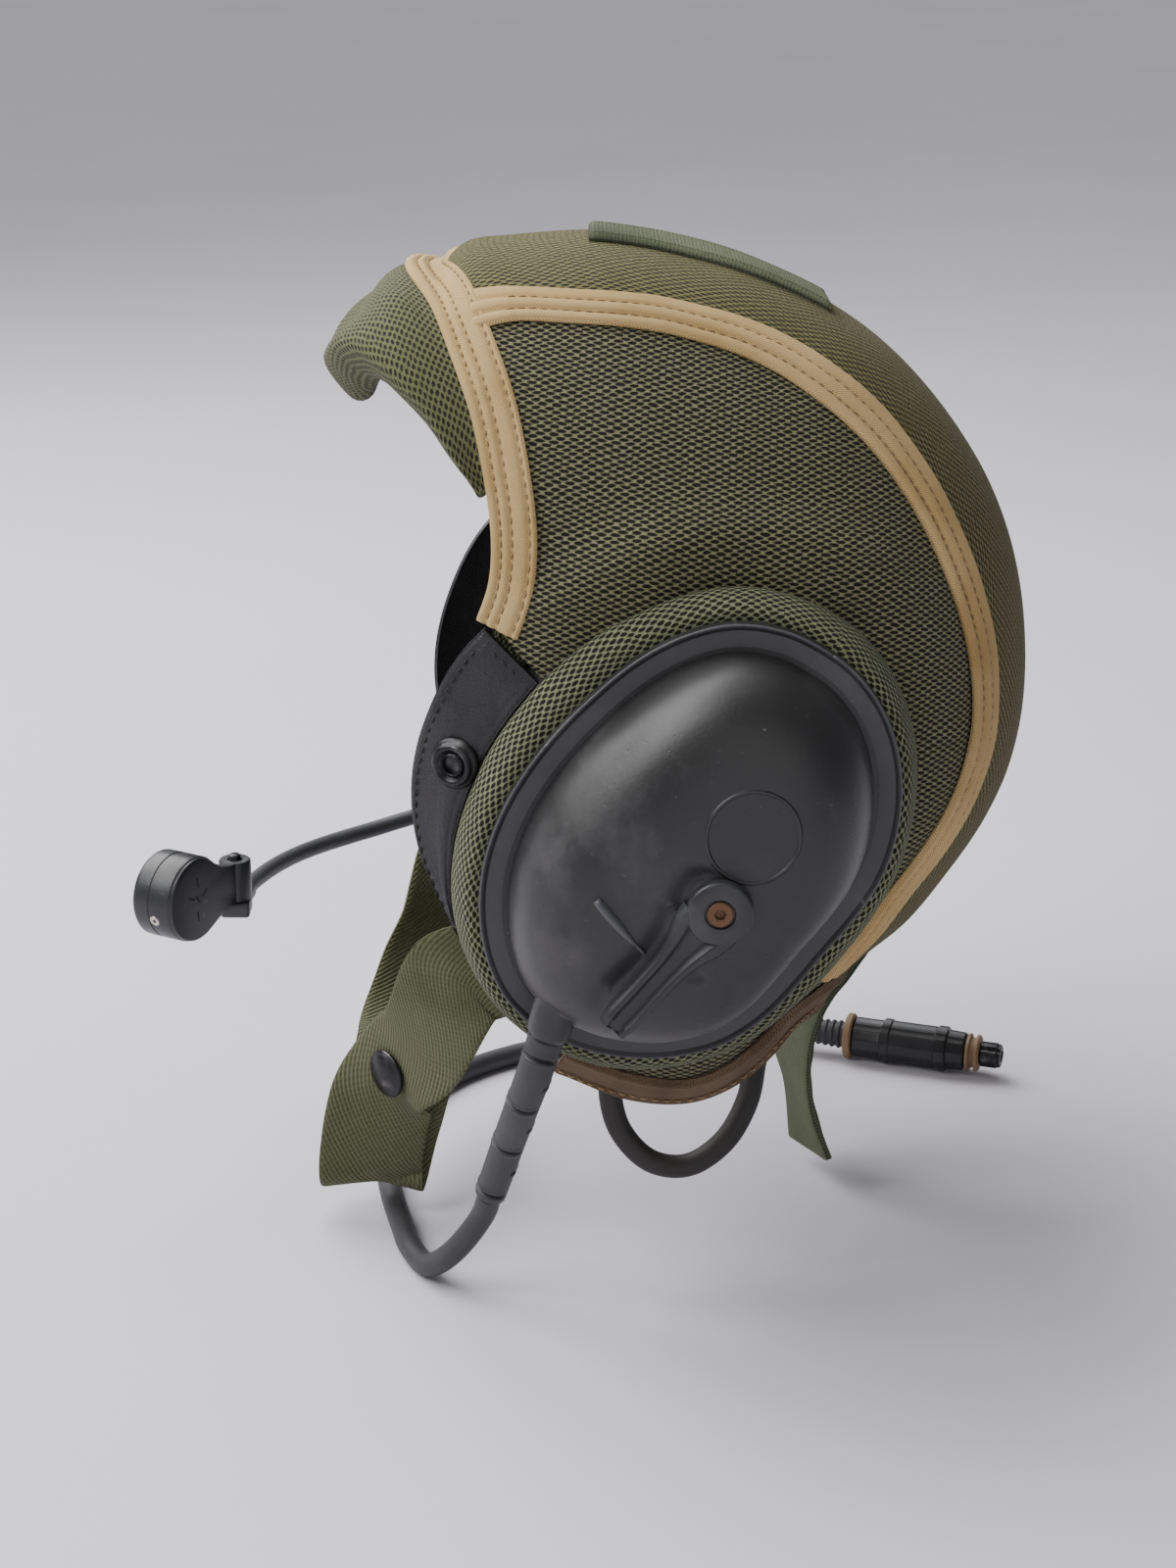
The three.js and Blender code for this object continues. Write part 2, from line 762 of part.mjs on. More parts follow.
function earSeal() {
  const top = flangeBack - fitGap;
  const outer = -surroundTuck - 1;
  const inner = outer - sealWidth;
  const rows = [
    { outside: outer, depth: 0, even: 0 },
    { outside: inner, depth: 0, even: 1 },
    { outside: inner, depth: 0.6, even: 1 },
    { outside: mix(outer, inner, 0.6), depth: 1, even: 0.6 },
    { outside: mix(outer, inner, 0.15), depth: 0.8, even: 0.15 },
  ];
  const rings = rows.map((row) => cupRing(top - row.depth * sealDepth, row.outside, 1, row.even));
  return loft(rings, { loop: true });
}
addPair("ear_seal", earSeal(), blackLeather);

const hub = { y: earBack + hubBack, z: earZ - hubDown };
const armBase = domeTop + armClear;
const middle = (x) => new THREE.Vector3(x, earBack, earZ);
// Direction in the plane of the cup, by the angle below straight forward.
const below = (angle) => new THREE.Vector3(0, -Math.cos(radians(angle)), -Math.sin(radians(angle)));

// Where the lead leaves the left cup, and the way it goes.
const bossTop = new THREE.Vector3(domeBase + 0.37 * domeRise, earBack - 35.2, earZ - 34);
const leadWay = new THREE.Vector3(-0.08, -0.28, -0.955).normalize();
const bossEnd = bossTop.clone().addScaledVector(leadWay, bossLength);

// Low ridge on the dome that stops the arm when it swings up.
function stopRidge() {
  const ridge = new THREE.BoxGeometry(ridgeDepth, ridgeWidth, ridgeLength);
  ridge.rotateX(radians(ridgeTurn));
  const spot = below(ridgeAngle).multiplyScalar(ridgeReach);
  return ridge.translate(domeTop + ridgeProud - ridgeDepth / 2, hub.y + spot.y, hub.z + spot.z);
}

function cupShell() {
  const outside = domeRows.map((row) => cupRing(domeBase + row.rise * domeRise, -flangeWidth, row.reach));
  const inside = domeRows.filter((row, i) => i % 2 === 0).map((row) => {
    const x = row.rise ? domeBase + row.rise * domeRise - shellWall : flangeBack;
    return cupRing(x, -flangeWidth - shellWall, row.reach);
  });
  const rings = [
    ...outside.reverse(),
    cupRing(domeBase, -0.5),
    cupRing(mix(flangeBack, domeBase, 0.6), 0),
    cupRing(flangeBack, 0),
    ...inside,
  ];
  return loft(rings, { tips: [middle(domeTop), middle(domeTop - shellWall)] });
}
const ridge = stopRidge();
const boss = pin(bossTop, bossEnd, bossRadius, bossRadius - 0.5);
add("earcup_shell_left", joined(cupShell(), ridge, boss), blackPlastic);
add("earcup_shell_right", mirrored(joined(cupShell(), ridge)), blackPlastic);

// Swivel arm with a raised edge on both sides, flat over the top of the dome.
function swivelArm(angle) {
  const height = armThick + armRidge;
  const disc = new THREE.CylinderGeometry(hubRadius, hubRadius, height, 28);
  disc.rotateX(Math.PI / 2).translate(0, 0, height / 2);
  const bar = new THREE.BoxGeometry(armReach - 2, armWidth, armThick);
  bar.translate((armReach + 2) / 2, 0, armThick / 2);
  const edges = [-1, 1].map((side) =>
    new THREE.BoxGeometry(armReach - 4, 2, height)
      .translate((armReach + 4) / 2, side * (armWidth / 2 - 1), height / 2),
  );
  const hole = new THREE.CylinderGeometry(2.5, 2.5, 20, 16).rotateX(Math.PI / 2);
  const seat = new THREE.CylinderGeometry(screwRadius + fitGap, screwRadius + fitGap, 2 * screwHead, 20);
  seat.rotateX(Math.PI / 2).translate(0, 0, height);
  const arm = cutBy(joined(disc, bar, ...edges), hole, seat);
  const out = new THREE.Vector3(1, 0, 0);
  const way = below(angle);
  const basis = new THREE.Matrix4().makeBasis(way, out.clone().cross(way), out);
  return arm.applyMatrix4(basis.setPosition(armBase, hub.y, hub.z));
}

function pivotScrew() {
  const headTop = armThick + armRidge - 0.2;
  const headBase = armThick + armRidge - screwHead + fitGap;
  const head = pin(v3(headBase, 0, 0), v3(headTop, 0, 0), screwRadius, screwRadius, 20);
  const shank = pin(v3(0.3 - armClear, 0, 0), v3(headBase + 0.5, 0, 0), 2.1);
  return joined(head, shank).translate(armBase, hub.y, hub.z);
}
add("swivel_arm_left", swivelArm(leftArmAngle), blackPlastic);
add("swivel_arm_right", mirrored(swivelArm(rightArmAngle)), blackPlastic);
addPair("pivot_screw", pivotScrew(), rustyBrass);

// Boom and microphone, on the wearer's right

const rightHub = v3(-armBase - armThick / 2, hub.y, hub.z);
const armEnd = rightHub.clone().addScaledVector(below(rightArmAngle), armReach + fitGap);
const micPost = v3(-16, earBack - 139.3, earZ - 55);
const boomPoints = [
  armEnd,
  armEnd.clone().addScaledVector(below(rightArmAngle), 6),
  armEnd.clone().add(v3(0.8, -13, -11.5)),
  armEnd.clone().add(v3(3.5, -36, -12)),
  armEnd.clone().add(v3(9.5, -64, -9)),
  v3(-96, mix(armEnd.y, micPost.y, 0.74), micPost.z - 4),
  v3(-70, mix(armEnd.y, micPost.y, 0.9), micPost.z - 3),
  v3(-42, mix(armEnd.y, micPost.y, 0.98), micPost.z - 1.5),
  micPost.clone().add(v3(-3, 0, 0)),
];
function boom() {
  const rod = tube(boomPoints, boomRadius, 22, 8);
  const block = new THREE.BoxGeometry(10, 9, postBlock).translate(micPost.x, micPost.y, micPost.z);
  const post = pin(micPost, micPost.clone().add(v3(0, 0, postBlock / 2 + knuckleHeight + 1.5)), postRadius);
  return joined(rod, block, post);
}
add("boom", boom(), blackPlastic);

function microphone() {
  const axis = v3(0.5, 0.866, 0);
  const away = v3(0.866, -0.5, 0);
  const knuckleZ = micPost.z + postBlock / 2 + fitGap + knuckleHeight / 2;
  const bore = postRadius + postClear;
  const profile = [
    [bore, -0.5],
    [knuckleRadius, -0.5],
    [knuckleRadius, 0.5],
    [bore, 0.5],
    [bore, -0.5],
  ].map(([radius, height]) => new THREE.Vector2(radius, height * knuckleHeight));
  const knuckle = new THREE.LatheGeometry(profile, 16);
  knuckle.rotateX(Math.PI / 2).translate(micPost.x, micPost.y, knuckleZ);
  const face = v3(micPost.x, micPost.y, knuckleZ + micRise);
  face.addScaledVector(away, micArm).addScaledVector(axis, 2.5);
  const drum = pin(face.clone().addScaledVector(axis, -micDepth), face, micRadius, micRadius, 20);
  const plateEnd = knuckleRadius - micArm - 1;
  const plateHalf = knuckleHeight / 2 - 1;
  const shape = new THREE.Shape();
  shape.absarc(0, 0, micRadius - 0.4, radians(-110), radians(110), false);
  shape.lineTo(plateEnd, plateHalf - micRise);
  shape.lineTo(plateEnd, -plateHalf - micRise);
  const plateForm = { depth: micPlate, bevelEnabled: false, curveSegments: 8 };
  const plate = new THREE.ExtrudeGeometry(shape, plateForm);
  const basis = new THREE.Matrix4().makeBasis(away, v3(0, 0, 1), axis.clone().negate());
  const plateTop = face.clone().addScaledVector(axis, 0.6);
  plate.applyMatrix4(basis.setPosition(plateTop.x, plateTop.y, plateTop.z));
  return joined(drum, plate, knuckle);
}
add("microphone", microphone(), blackPlastic);

// Leather tabs with snap sockets

const tabRows = [
  { turn: 0, reach: 31 },
  { turn: 0.14, reach: 31 },
  { turn: 0.33, reach: 28.5 },
  { turn: 0.52, reach: 24.8 },
  { turn: 0.7, reach: 19.5 },
  { turn: 0.86, reach: 13.6 },
  { turn: 1, reach: 10 },
];
function leatherTab() {
  const end = frontCurve.getPointAt(frontEndShare);
  const first = turnOf(end.y, end.z) + tabStart;
  const steps = 12;
  const acrossSteps = 3;
  const rings = [];
  for (let i = 0; i <= steps; i += 1) {
    const share = i / steps;
    const reach = along(tabRows, "turn", "reach", share);
    const row = (lift) =>
      Array.from({ length: acrossSteps + 1 }, (_, j) => {
        const turn = mix(first, tabEnd, share);
        const { y, z } = aroundCup(turn, mix(surroundEdge(turn), reach, j / acrossSteps));
        return capOver(y, z, lift);
      });
    rings.push([...row(0), ...row(-tabThick).reverse()]);
  }
  return loft(rings);
}
addPair("leather_tab", leatherTab(), blackLeather);

function snapSocket() {
  const { y, z } = aroundCup(snapTurn, snapReach);
  const skin = capOver(y, z);
  const out = capOver(y, z, 1).sub(skin).normalize();
  const foot = skin.clone().addScaledVector(out, 0.5);
  const body = pin(foot, foot.clone().addScaledVector(out, snapHeight), snapRadius, snapRadius - 1, 16);
  const top = foot.clone().addScaledVector(out, snapHeight + 1);
  const hole = pin(foot.clone().addScaledVector(out, 1), top, snapHole, snapHole, 10);
  return cutBy(body, hole);
}
addPair("snap_socket", snapSocket(), darkMetal);

// Chin strap: one webbing from cup to cup, with a slack fold held by a snap

// Place on the strap's root, and the way along the cup's edge there.
const rootSpot = aroundCup(strapTurn, surroundEdge(strapTurn) - strapTuck);
const rootAhead = aroundCup(strapTurn + 1, surroundEdge(strapTurn) - strapTuck);
const rootX = capOver(rootSpot.y, rootSpot.z).x - sideWall / 2;
const rootWide = v3(0, rootAhead.y - rootSpot.y, rootAhead.z - rootSpot.z).normalize();
const rootOut = v3(-0.35, rootWide.z, -rootWide.y).normalize();
const strapRoot = v3(rootX, rootSpot.y, rootSpot.z);
const strapJaw = v3(47, -76.5, -228);
const strapSnap = v3(34, -86, -242);
const flipped = (v) => v3(-v.x, v.y, v.z);
const acrossHead = (row) => ({ at: flipped(row.at), wide: flipped(row.wide) });
const strapSide = [
  { at: strapRoot, wide: rootWide },
  { at: strapRoot.clone().addScaledVector(rootOut, 8), wide: rootWide },
  { at: strapJaw, wide: v3(0.25, 0.5, -0.83) },
];
const strapRows = [
  ...strapSide,
  { at: strapSnap, wide: v3(0.62, 0.58, -0.53) },
  { at: v3(29.5, -90.5, -256), wide: v3(0.05, 0.95, -0.3) },
  { at: v3(28.5, -93, -269), wide: v3(-0.1, 1, -0.05) },
  { at: v3(27, -94, -279.5), wide: v3(-0.12, 1, 0) },
  { at: v3(23.5, -93.5, -283.5), wide: v3(-0.12, 1, 0) },
  { at: v3(20, -92, -280), wide: v3(-0.12, 1, 0) },
  { at: v3(20, -89, -268), wide: v3(-0.08, 0.98, -0.1) },
  { at: v3(22, -86, -256), wide: v3(0.1, 0.9, -0.35) },
  { at: v3(22, -84, -248), wide: v3(0.1, 0.9, -0.4) },
  { at: v3(12, -83.5, -245.5), wide: v3(0.05, 0.9, -0.4) },
  { at: v3(-4, -84, -247.5), wide: v3(0, 0.9, -0.4) },
  { at: v3(-20, -83, -245.5), wide: v3(-0.1, 0.8, -0.55) },
  { at: v3(-34, -81, -239), wide: v3(-0.1, 0.66, -0.73) },
  ...strapSide.map(acrossHead).reverse(),
];
add("chin_strap", ribbon(strapRows, strapWidth, strapThick, 54), oliveWebbing);

// Place of the snap: the share of the strap's length that lies nearest to where it is pressed shut.
function shareOnStrap(point) {
  const path = new THREE.CatmullRomCurve3(strapRows.map((row) => row.at), false, "centripetal");
  return shareNear(path, point);
}
const snapFrame = strapFrame(strapRows, shareOnStrap(strapSnap));
const snapOut = snapFrame.out.x > 0 ? snapFrame.out : snapFrame.out.clone().negate();
const snapFoot = snapFrame.at.clone().addScaledVector(snapOut, strapThick / 2 + snapLift);
const snapTop = snapFoot.clone().addScaledVector(snapOut, capHeadHeight);
add("strap_snap", pin(snapFoot, snapTop, snapRadius, snapRadius - 2, 16), darkMetal);

// Nape strap: hook tape sewn to the crown panel's end, hanging free
const napeTop = hemCurve.getPointAt(0.5);
const napeRows = [
  { at: napeTop.clone().add(v3(0, 9, 3)), wide: v3(1, 0, 0) },
  { at: napeTop.clone().add(v3(0, 2.5, -6.5)), wide: v3(1, 0.05, 0) },
  { at: napeTop.clone().add(v3(0, -8, -20)), wide: v3(0.96, 0.28, 0) },
  { at: napeTop.clone().add(v3(0, -12.5, -36)), wide: v3(0.93, 0.37, 0) },
  { at: napeTop.clone().add(v3(0, -10, -52)), wide: v3(0.96, 0.27, 0) },
  { at: napeTop.clone().add(v3(0, -6, -71)), wide: v3(0.9, 0.44, 0) },
];
add("nape_strap", ribbon(napeRows, napeStrapWidth, napeStrapThick, 12), greenTape);

// Lead, its strain relief and its plug

const floorZ = -floorDrop;
const reliefTop = bossEnd.clone().addScaledVector(leadWay, fitGap);
const reliefEnd = v3(80, -55, -260);
const reliefRows = [
  reliefTop,
  reliefTop.clone().addScaledVector(leadWay, 10),
  reliefTop.clone().lerp(reliefEnd, 0.6),
  reliefEnd,
];
const reliefPath = new THREE.CatmullRomCurve3(reliefRows, false, "centripetal");
// One collar of the relief: places along it, as shares, and how deep the groove is there.
const collarRows = [
  { share: 0, groove: 0 },
  { share: 0.82, groove: 0 },
  { share: 0.86, groove: 1 },
  { share: 0.96, groove: 1 },
];
function strainRelief() {
  const collars = 7;
  const sides = 8;
  const rings = [];
  const ringAt = (u, groove) => {
    const way = reliefPath.getTangentAt(u);
    const one = v3(1, 0, 0).addScaledVector(way, -way.x).normalize();
    const two = way.clone().cross(one);
    const radius = mix(reliefRadius, reliefRadius - reliefTaper, u) - groove * reliefGroove;
    const place = reliefPath.getPointAt(u);
    return Array.from({ length: sides }, (_, k) => {
      const a = (2 * Math.PI * k) / sides;
      const spot = place.clone().addScaledVector(one, radius * Math.cos(a));
      return spot.addScaledVector(two, radius * Math.sin(a));
    });
  };
  for (let i = 0; i < collars; i += 1) {
    rings.push(...collarRows.map((row) => ringAt((i + row.share) / collars, row.groove)));
  }
  rings.push(ringAt(1, 1));
  return loft(rings);
}
add("strain_relief", strainRelief(), darkRubber);

const leadZ = floorZ + leadRadius;
const plugZ = floorZ + plugRadius;
const plugStart = v3(-98.5, 50.5, plugZ);
const plugWay = v3(0.33, 0.944, 0).normalize();
const leadStart = reliefEnd.clone().addScaledVector(reliefPath.getTangentAt(1), fitGap);
const leadRows = [
  leadStart,
  leadStart.clone().addScaledVector(reliefPath.getTangentAt(1), 8),
  v3(75, -66, -281),
  v3(67, -74, leadZ + 1.5),
  v3(54, -80, leadZ),
  v3(38, -84, leadZ),
  v3(20, -88, leadZ),
  v3(0, -91, leadZ),
  v3(-22, -91, leadZ),
  v3(-46, -86, leadZ),
  v3(-70, -72, leadZ),
  v3(-88, -50, leadZ),
  v3(-99, -22, leadZ),
  v3(-104, 6, leadZ),
  v3(-105, 26, leadZ + 1),
  plugStart.clone().addScaledVector(plugWay, -9).setZ(plugZ - 0.5),
  plugStart.clone().addScaledVector(plugWay, -fitGap - 0.1),
];
add("lead", tube(leadRows, leadRadius, 34, 8), darkRubber);

function plugPiece(name, from, length, radius, material, sides = 16, endRadius = radius) {
  const start = plugStart.clone().addScaledVector(plugWay, from);
  const end = start.clone().addScaledVector(plugWay, length - fitGap);
  add(name, pin(start, end, radius, endRadius, sides), material);
  return from + length;
}
let reach = 0;
reach = plugPiece("plug_relief", reach, plugTail, 4.2, blackPlastic, 12, 5);
reach = plugPiece("plug_ring", reach, plugRing, plugRadius, tanCotton);
reach = plugPiece("plug_body", reach, plugBody, plugRadius - 0.3, blackPlastic, 12);
reach = plugPiece("plug_collar", reach, plugCollar, plugRadius - 1.5, blackPlastic);
reach = plugPiece("plug_tip", reach, plugTip, plugRadius - 3.4, darkMetal);

// Link cable from cup to cup: a slack loop below the left ear, then round inside the nape

const linkRows = [
  v3(71, -12, -209.8),
  v3(69.5, -12.5, -211.6),
  v3(65, -14, -215.5),
  v3(61, -17, -222),
  v3(57, -19, -230),
  v3(56, -20, -238),
  v3(57.5, -17, -250),
  v3(59, -8, -259.5),
  v3(59, 3, -261),
  v3(57, 14, -254),
  v3(52, 21, -243),
  v3(45, 24, -231),
  v3(37, 29, -221),
  v3(26, 34, -213),
  v3(12, 37, -209),
  v3(-4, 37.5, -208),
  v3(-20, 35.5, -209),
  v3(-34, 29, -213),
  v3(-46, 15, -218),
  v3(-55, 1, -221),
  v3(-60, -9, -219.5),
  v3(-65, -12, -215.5),
  v3(-69.5, -12.5, -211.6),
  v3(-71, -12, -209.8),
];
add("link_cable", tube(linkRows, linkRadius, 26, 8), darkRubber);

export default helmet;
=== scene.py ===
"""Tanker helmet: a padded mesh cap with hard ear cups, chin strap, boom microphone and lead.

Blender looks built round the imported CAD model. +Z is up, the wearer faces -Y and the wearer's left
ear is at +X. Shapes are worked out in millimetres and written to the meshes in metres.
"""
import math

import bmesh
import bpy
import numpy as np
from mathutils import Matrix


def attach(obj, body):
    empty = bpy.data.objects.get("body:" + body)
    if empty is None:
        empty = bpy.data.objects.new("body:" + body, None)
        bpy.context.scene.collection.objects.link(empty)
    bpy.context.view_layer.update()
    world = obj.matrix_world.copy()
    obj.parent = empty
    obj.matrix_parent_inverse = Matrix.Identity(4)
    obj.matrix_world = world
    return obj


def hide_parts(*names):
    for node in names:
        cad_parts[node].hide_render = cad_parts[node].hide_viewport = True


MM = 0.001
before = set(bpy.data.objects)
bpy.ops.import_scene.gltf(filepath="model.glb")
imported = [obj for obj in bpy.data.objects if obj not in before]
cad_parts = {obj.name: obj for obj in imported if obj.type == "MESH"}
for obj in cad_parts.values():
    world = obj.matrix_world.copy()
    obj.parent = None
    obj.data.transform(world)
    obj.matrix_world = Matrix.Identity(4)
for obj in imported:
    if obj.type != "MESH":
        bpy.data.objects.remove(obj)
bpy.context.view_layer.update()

# Camera and floor, in metres
CAMERA_PLACE = (0.80747, -0.0265, 0.11674)
CAMERA_PITCH = 19.0
CAMERA_LENS = 64.06
FLOOR = -0.295
FLOOR_REACH = 12

# Sizes of the cap in millimetres, as in the CAD source
CROWN_WALL = 7.0
SIDE_WALL = 4.0
CAP_LENGTH = 105.0
CAP_HEIGHT = 159.5
CAP_WIDTH = 84.0
EAR_BACK = 1.5
EAR_Z = CROWN_WALL - CAP_HEIGHT
BROW_PAD = 14.0
SEAM_GAP = 0.6
FIT_GAP = 0.3
BINDING = 13.0
HEM = 12.0
FRONT_END = 0.982

# Sizes of the ear cups
CUP_LENGTH = 70.0
CUP_WIDTH = 54.5
CUP_TILT = math.radians(57.0)
FLANGE = 8.0
FLANGE_BACK = CAP_WIDTH + 1.7
DOME_BASE = FLANGE_BACK + 3.0
DOME_RISE = 31.0
DOME_TOP = DOME_BASE + DOME_RISE
SHELL_WALL = 2.5
TUCK = 6.0
SURROUND = 8.0
SURROUND_THICK = 5.0
SEAL_WIDTH = 15.0
SEAL_DEPTH = 17.0

# Radius of the cap over its plain oval, by the angle round the ear, and the roundness of its section
CAP_SHARES = np.array([
    (0, 1.0, 2.4), (30, 1.06, 2.4), (45, 1.1, 2.4), (52, 1.14, 2.4), (58, 1.17, 2.4), (63, 1.175, 2.4),
    (66, 1.15, 2.4), (70, 1.112, 2.4), (75, 1.065, 2.4), (80, 1.028, 2.4), (85, 0.992, 2.4),
    (90, 0.965, 2.4), (95, 0.951, 2.4), (101, 0.944, 2.4), (107, 0.95, 2.4), (114, 0.964, 2.36),
    (122, 0.981, 2.3), (129, 0.997, 2.25), (136, 1.012, 2.19), (145, 1.02, 2.12), (155, 1.014, 2.1),
    (168, 0.99, 2.1), (178, 0.952, 2.1), (187, 0.898, 2.1), (199, 0.815, 2.1), (211, 0.735, 2.2),
    (221, 0.66, 2.3), (232, 0.6, 2.4), (243, 0.6, 2.4), (254, 0.645, 2.4), (267, 0.69, 2.4),
    (280, 0.71, 2.4), (293, 0.76, 2.4), (310, 0.85, 2.4), (330, 0.93, 2.4), (345, 0.98, 2.4),
    (360, 1.0, 2.4),
])
# Extra share where the brow stands up in front of the sunk front seam, by the angle round the ear
BROW_SWELL = np.array([
    (0, 0), (52, 0), (57, 0.025), (60.5, 0.046), (62.8, 0.012), (64.5, -0.018), (66, -0.006), (68.5, 0.004),
    (73, 0.004), (80, 0), (360, 0),
])
# Reach of the flange's edge over its plain oval, by the turn round the cup
CUP_SHARES = np.array([
    (0, 0.998), (15, 1.012), (30, 1.022), (42, 1.008), (55, 0.982), (68, 0.953), (80, 0.946), (92, 0.952),
    (105, 0.966), (120, 0.978), (140, 0.979), (158, 0.972), (172, 0.948), (186, 0.925), (202, 0.914),
    (218, 0.92), (231, 0.926), (244, 0.905), (256, 0.876), (267, 0.866), (278, 0.894), (291, 0.94),
    (306, 0.966), (325, 0.985), (345, 0.994), (360, 0.998),
])
# Width of the mesh surround outside the flange, as a share
SURROUND_SHARES = np.array([
    (0, 0.88), (30, 0.95), (48, 1.1), (68, 1.36), (90, 1.28), (112, 1.12), (135, 1.12), (158, 1.05),
    (180, 1.2), (202, 1.28), (225, 1.03), (245, 1.16), (262, 1.36), (280, 1.16), (300, 0.84), (320, 0.78),
    (345, 0.82), (360, 0.88),
])
# Seams: angle round the ear and lean from the middle to the ear
FRONT_LINE = np.array([
    (63.6, 0), (65.6, 18), (66, 31), (65.8, 41), (63.9, 50.9), (60.5, 57.4), (55.5, 60), (46, 59.3),
])
SIDE_LINE = np.array([
    (66, 23), (71.2, 24.4), (79, 26.7), (89.5, 26.5), (100.6, 26.9), (107.2, 28.3), (115.5, 30),
    (124.9, 32), (134.9, 33.8), (147.8, 34.2), (161.2, 35), (173.4, 38.2), (190.4, 42.3), (207, 43),
    (222, 39), (237, 30),
])
HEM_LINE = np.array([
    (231, 0), (233, 15), (237, 30), (246, 41), (260, 45.5), (272, 46.5), (284, 47), (297, 47.6),
])
# Lower edge of the brow pad, and its thickness as a share of the full pad
BROW_LINE = np.array([
    (49.5, 0, 1), (51.8, 8, 0.97), (54.2, 15, 0.88), (56.2, 24, 0.7), (57.6, 33, 0.52), (58.4, 42, 0.36),
    (59.1, 50, 0.22),
])


def along(table, key, column, at):
    """Smooth value of a column at places along a table whose rows rise in the key column."""
    xs, ys = table[:, key].astype(float), table[:, column].astype(float)
    slopes = np.zeros(len(xs))
    slopes[1:-1] = (ys[2:] - ys[:-2]) / (xs[2:] - xs[:-2])
    at = np.clip(at, xs[0], xs[-1])
    i = np.clip(np.searchsorted(xs, at, side="right") - 1, 0, len(xs) - 2)
    span = xs[i + 1] - xs[i]
    t = (at - xs[i]) / span
    rise = t * t * (3 - 2 * t)
    bend = span * (t * (1 - t) ** 2 * slopes[i] - t * t * (1 - t) * slopes[i + 1])
    return ys[i] * (1 - rise) + ys[i + 1] * rise + bend


def mix(a, b, t):
    return a + (b - a) * t


def step(low, high, x):
    """0 below low, 1 above high, and smooth between them."""
    t = np.clip((x - low) / (high - low), 0, 1)
    return t * t * (3 - 2 * t)


def bump(x, width):
    """1 where x is nought, fading to 0 on both sides over about twice the width."""
    return np.exp(-(x / width) ** 2)


def unit(vectors):
    return vectors / np.maximum(np.linalg.norm(vectors, axis=-1, keepdims=True), 1e-9)


def ripple(u, v, seed):
    """Soft uneven waves between about -1 and 1 over two lengths, the same on every run."""
    random = np.random.default_rng(seed)
    total = 0
    for _ in range(6):
        way = random.uniform(0, 2 * math.pi)
        size = random.uniform(0.6, 1.7)
        total = total + np.sin((u * math.cos(way) + v * math.sin(way)) * size + random.uniform(0, 6.3))
    return total / 3.2


# Surface of the cap

def cap_radius(angle, lean):
    a = np.radians(angle)
    plain = 1 / np.hypot(np.cos(a) / CAP_LENGTH, np.sin(a) / CAP_HEIGHT)
    swell = along(BROW_SWELL, 0, 1, angle % 360) * np.cos(np.radians(lean)) ** 8
    return plain * (along(CAP_SHARES, 0, 1, angle % 360) + swell)


def cap_skin(angle, lean):
    power = 2 / along(CAP_SHARES, 0, 2, angle % 360)
    t = np.radians(np.abs(lean))
    radius = cap_radius(angle, lean) * np.cos(t) ** power
    a = np.radians(angle)
    x = np.sign(lean) * CAP_WIDTH * np.sin(t) ** power
    return np.stack(np.broadcast_arrays(x, EAR_BACK - radius * np.cos(a), EAR_Z + radius * np.sin(a)), -1)


def cap_point(angle, lean, lift=0.0):
    """Points of the cap, lifted off its outer skin, or sunk below it where lift is negative."""
    apart = 1.5
    one = cap_skin(angle + apart, lean) - cap_skin(angle - apart, lean)
    two = cap_skin(angle, lean + apart) - cap_skin(angle, lean - apart)
    skin = cap_skin(angle, lean)
    out = unit(np.cross(two, one))
    out = out * np.sign(np.sum(out * (skin - [0, EAR_BACK, EAR_Z]), -1, keepdims=True))
    return skin + out * np.asarray(lift)[..., None]


def cap_place(points):
    """Angle and lean of the places on the cap nearest to points beside it."""
    angle = np.degrees(np.arctan2(points[..., 2] - EAR_Z, EAR_BACK - points[..., 1])) % 360
    half = along(CAP_SHARES, 0, 2, angle) / 2
    across = (np.abs(points[..., 0]) / CAP_WIDTH) ** half
    lean = np.full(angle.shape, 45.0)
    reach = np.hypot(points[..., 1] - EAR_BACK, points[..., 2] - EAR_Z)
    for _ in range(4):
        lean = np.degrees(np.arctan2(across, (reach / cap_radius(angle, lean)) ** half))
    return angle, np.where(points[..., 0] < 0, -lean, lean)


def cap_over(y, z):
    """Angle and lean on the left side of the cap, over places seen from the side."""
    angle = np.degrees(np.arctan2(z - EAR_Z, EAR_BACK - y)) % 360
    lean = np.full(angle.shape, 45.0)
    half = along(CAP_SHARES, 0, 2, angle) / 2
    for _ in range(4):
        share = np.minimum(np.hypot(y - EAR_BACK, z - EAR_Z) / cap_radius(angle, lean), 0.995)
        lean = np.degrees(np.arccos(share ** half))
    return angle, lean


def cup_share(turn):
    return along(CUP_SHARES, 0, 1, turn % 360)


def cup_edge(turn):
    """Places on the edge of the cup's flange, along its length and its width. Turn is in degrees."""
    t = np.radians(turn)
    return np.stack([np.cos(t) * CUP_LENGTH, np.sin(t) * CUP_WIDTH], -1) * cup_share(turn)[..., None]


def around_cup(turn, outside=0.0):
    """Places seen from the side, a distance outside the edge of the cup's flange."""
    way = unit(cup_edge(turn + 4.0) - cup_edge(turn - 4.0))
    spot = cup_edge(turn)
    u = spot[..., 0] + way[..., 1] * outside
    v = spot[..., 1] - way[..., 0] * outside
    y = EAR_BACK + u * math.cos(CUP_TILT) - v * math.sin(CUP_TILT)
    return y, EAR_Z + u * math.sin(CUP_TILT) + v * math.cos(CUP_TILT)


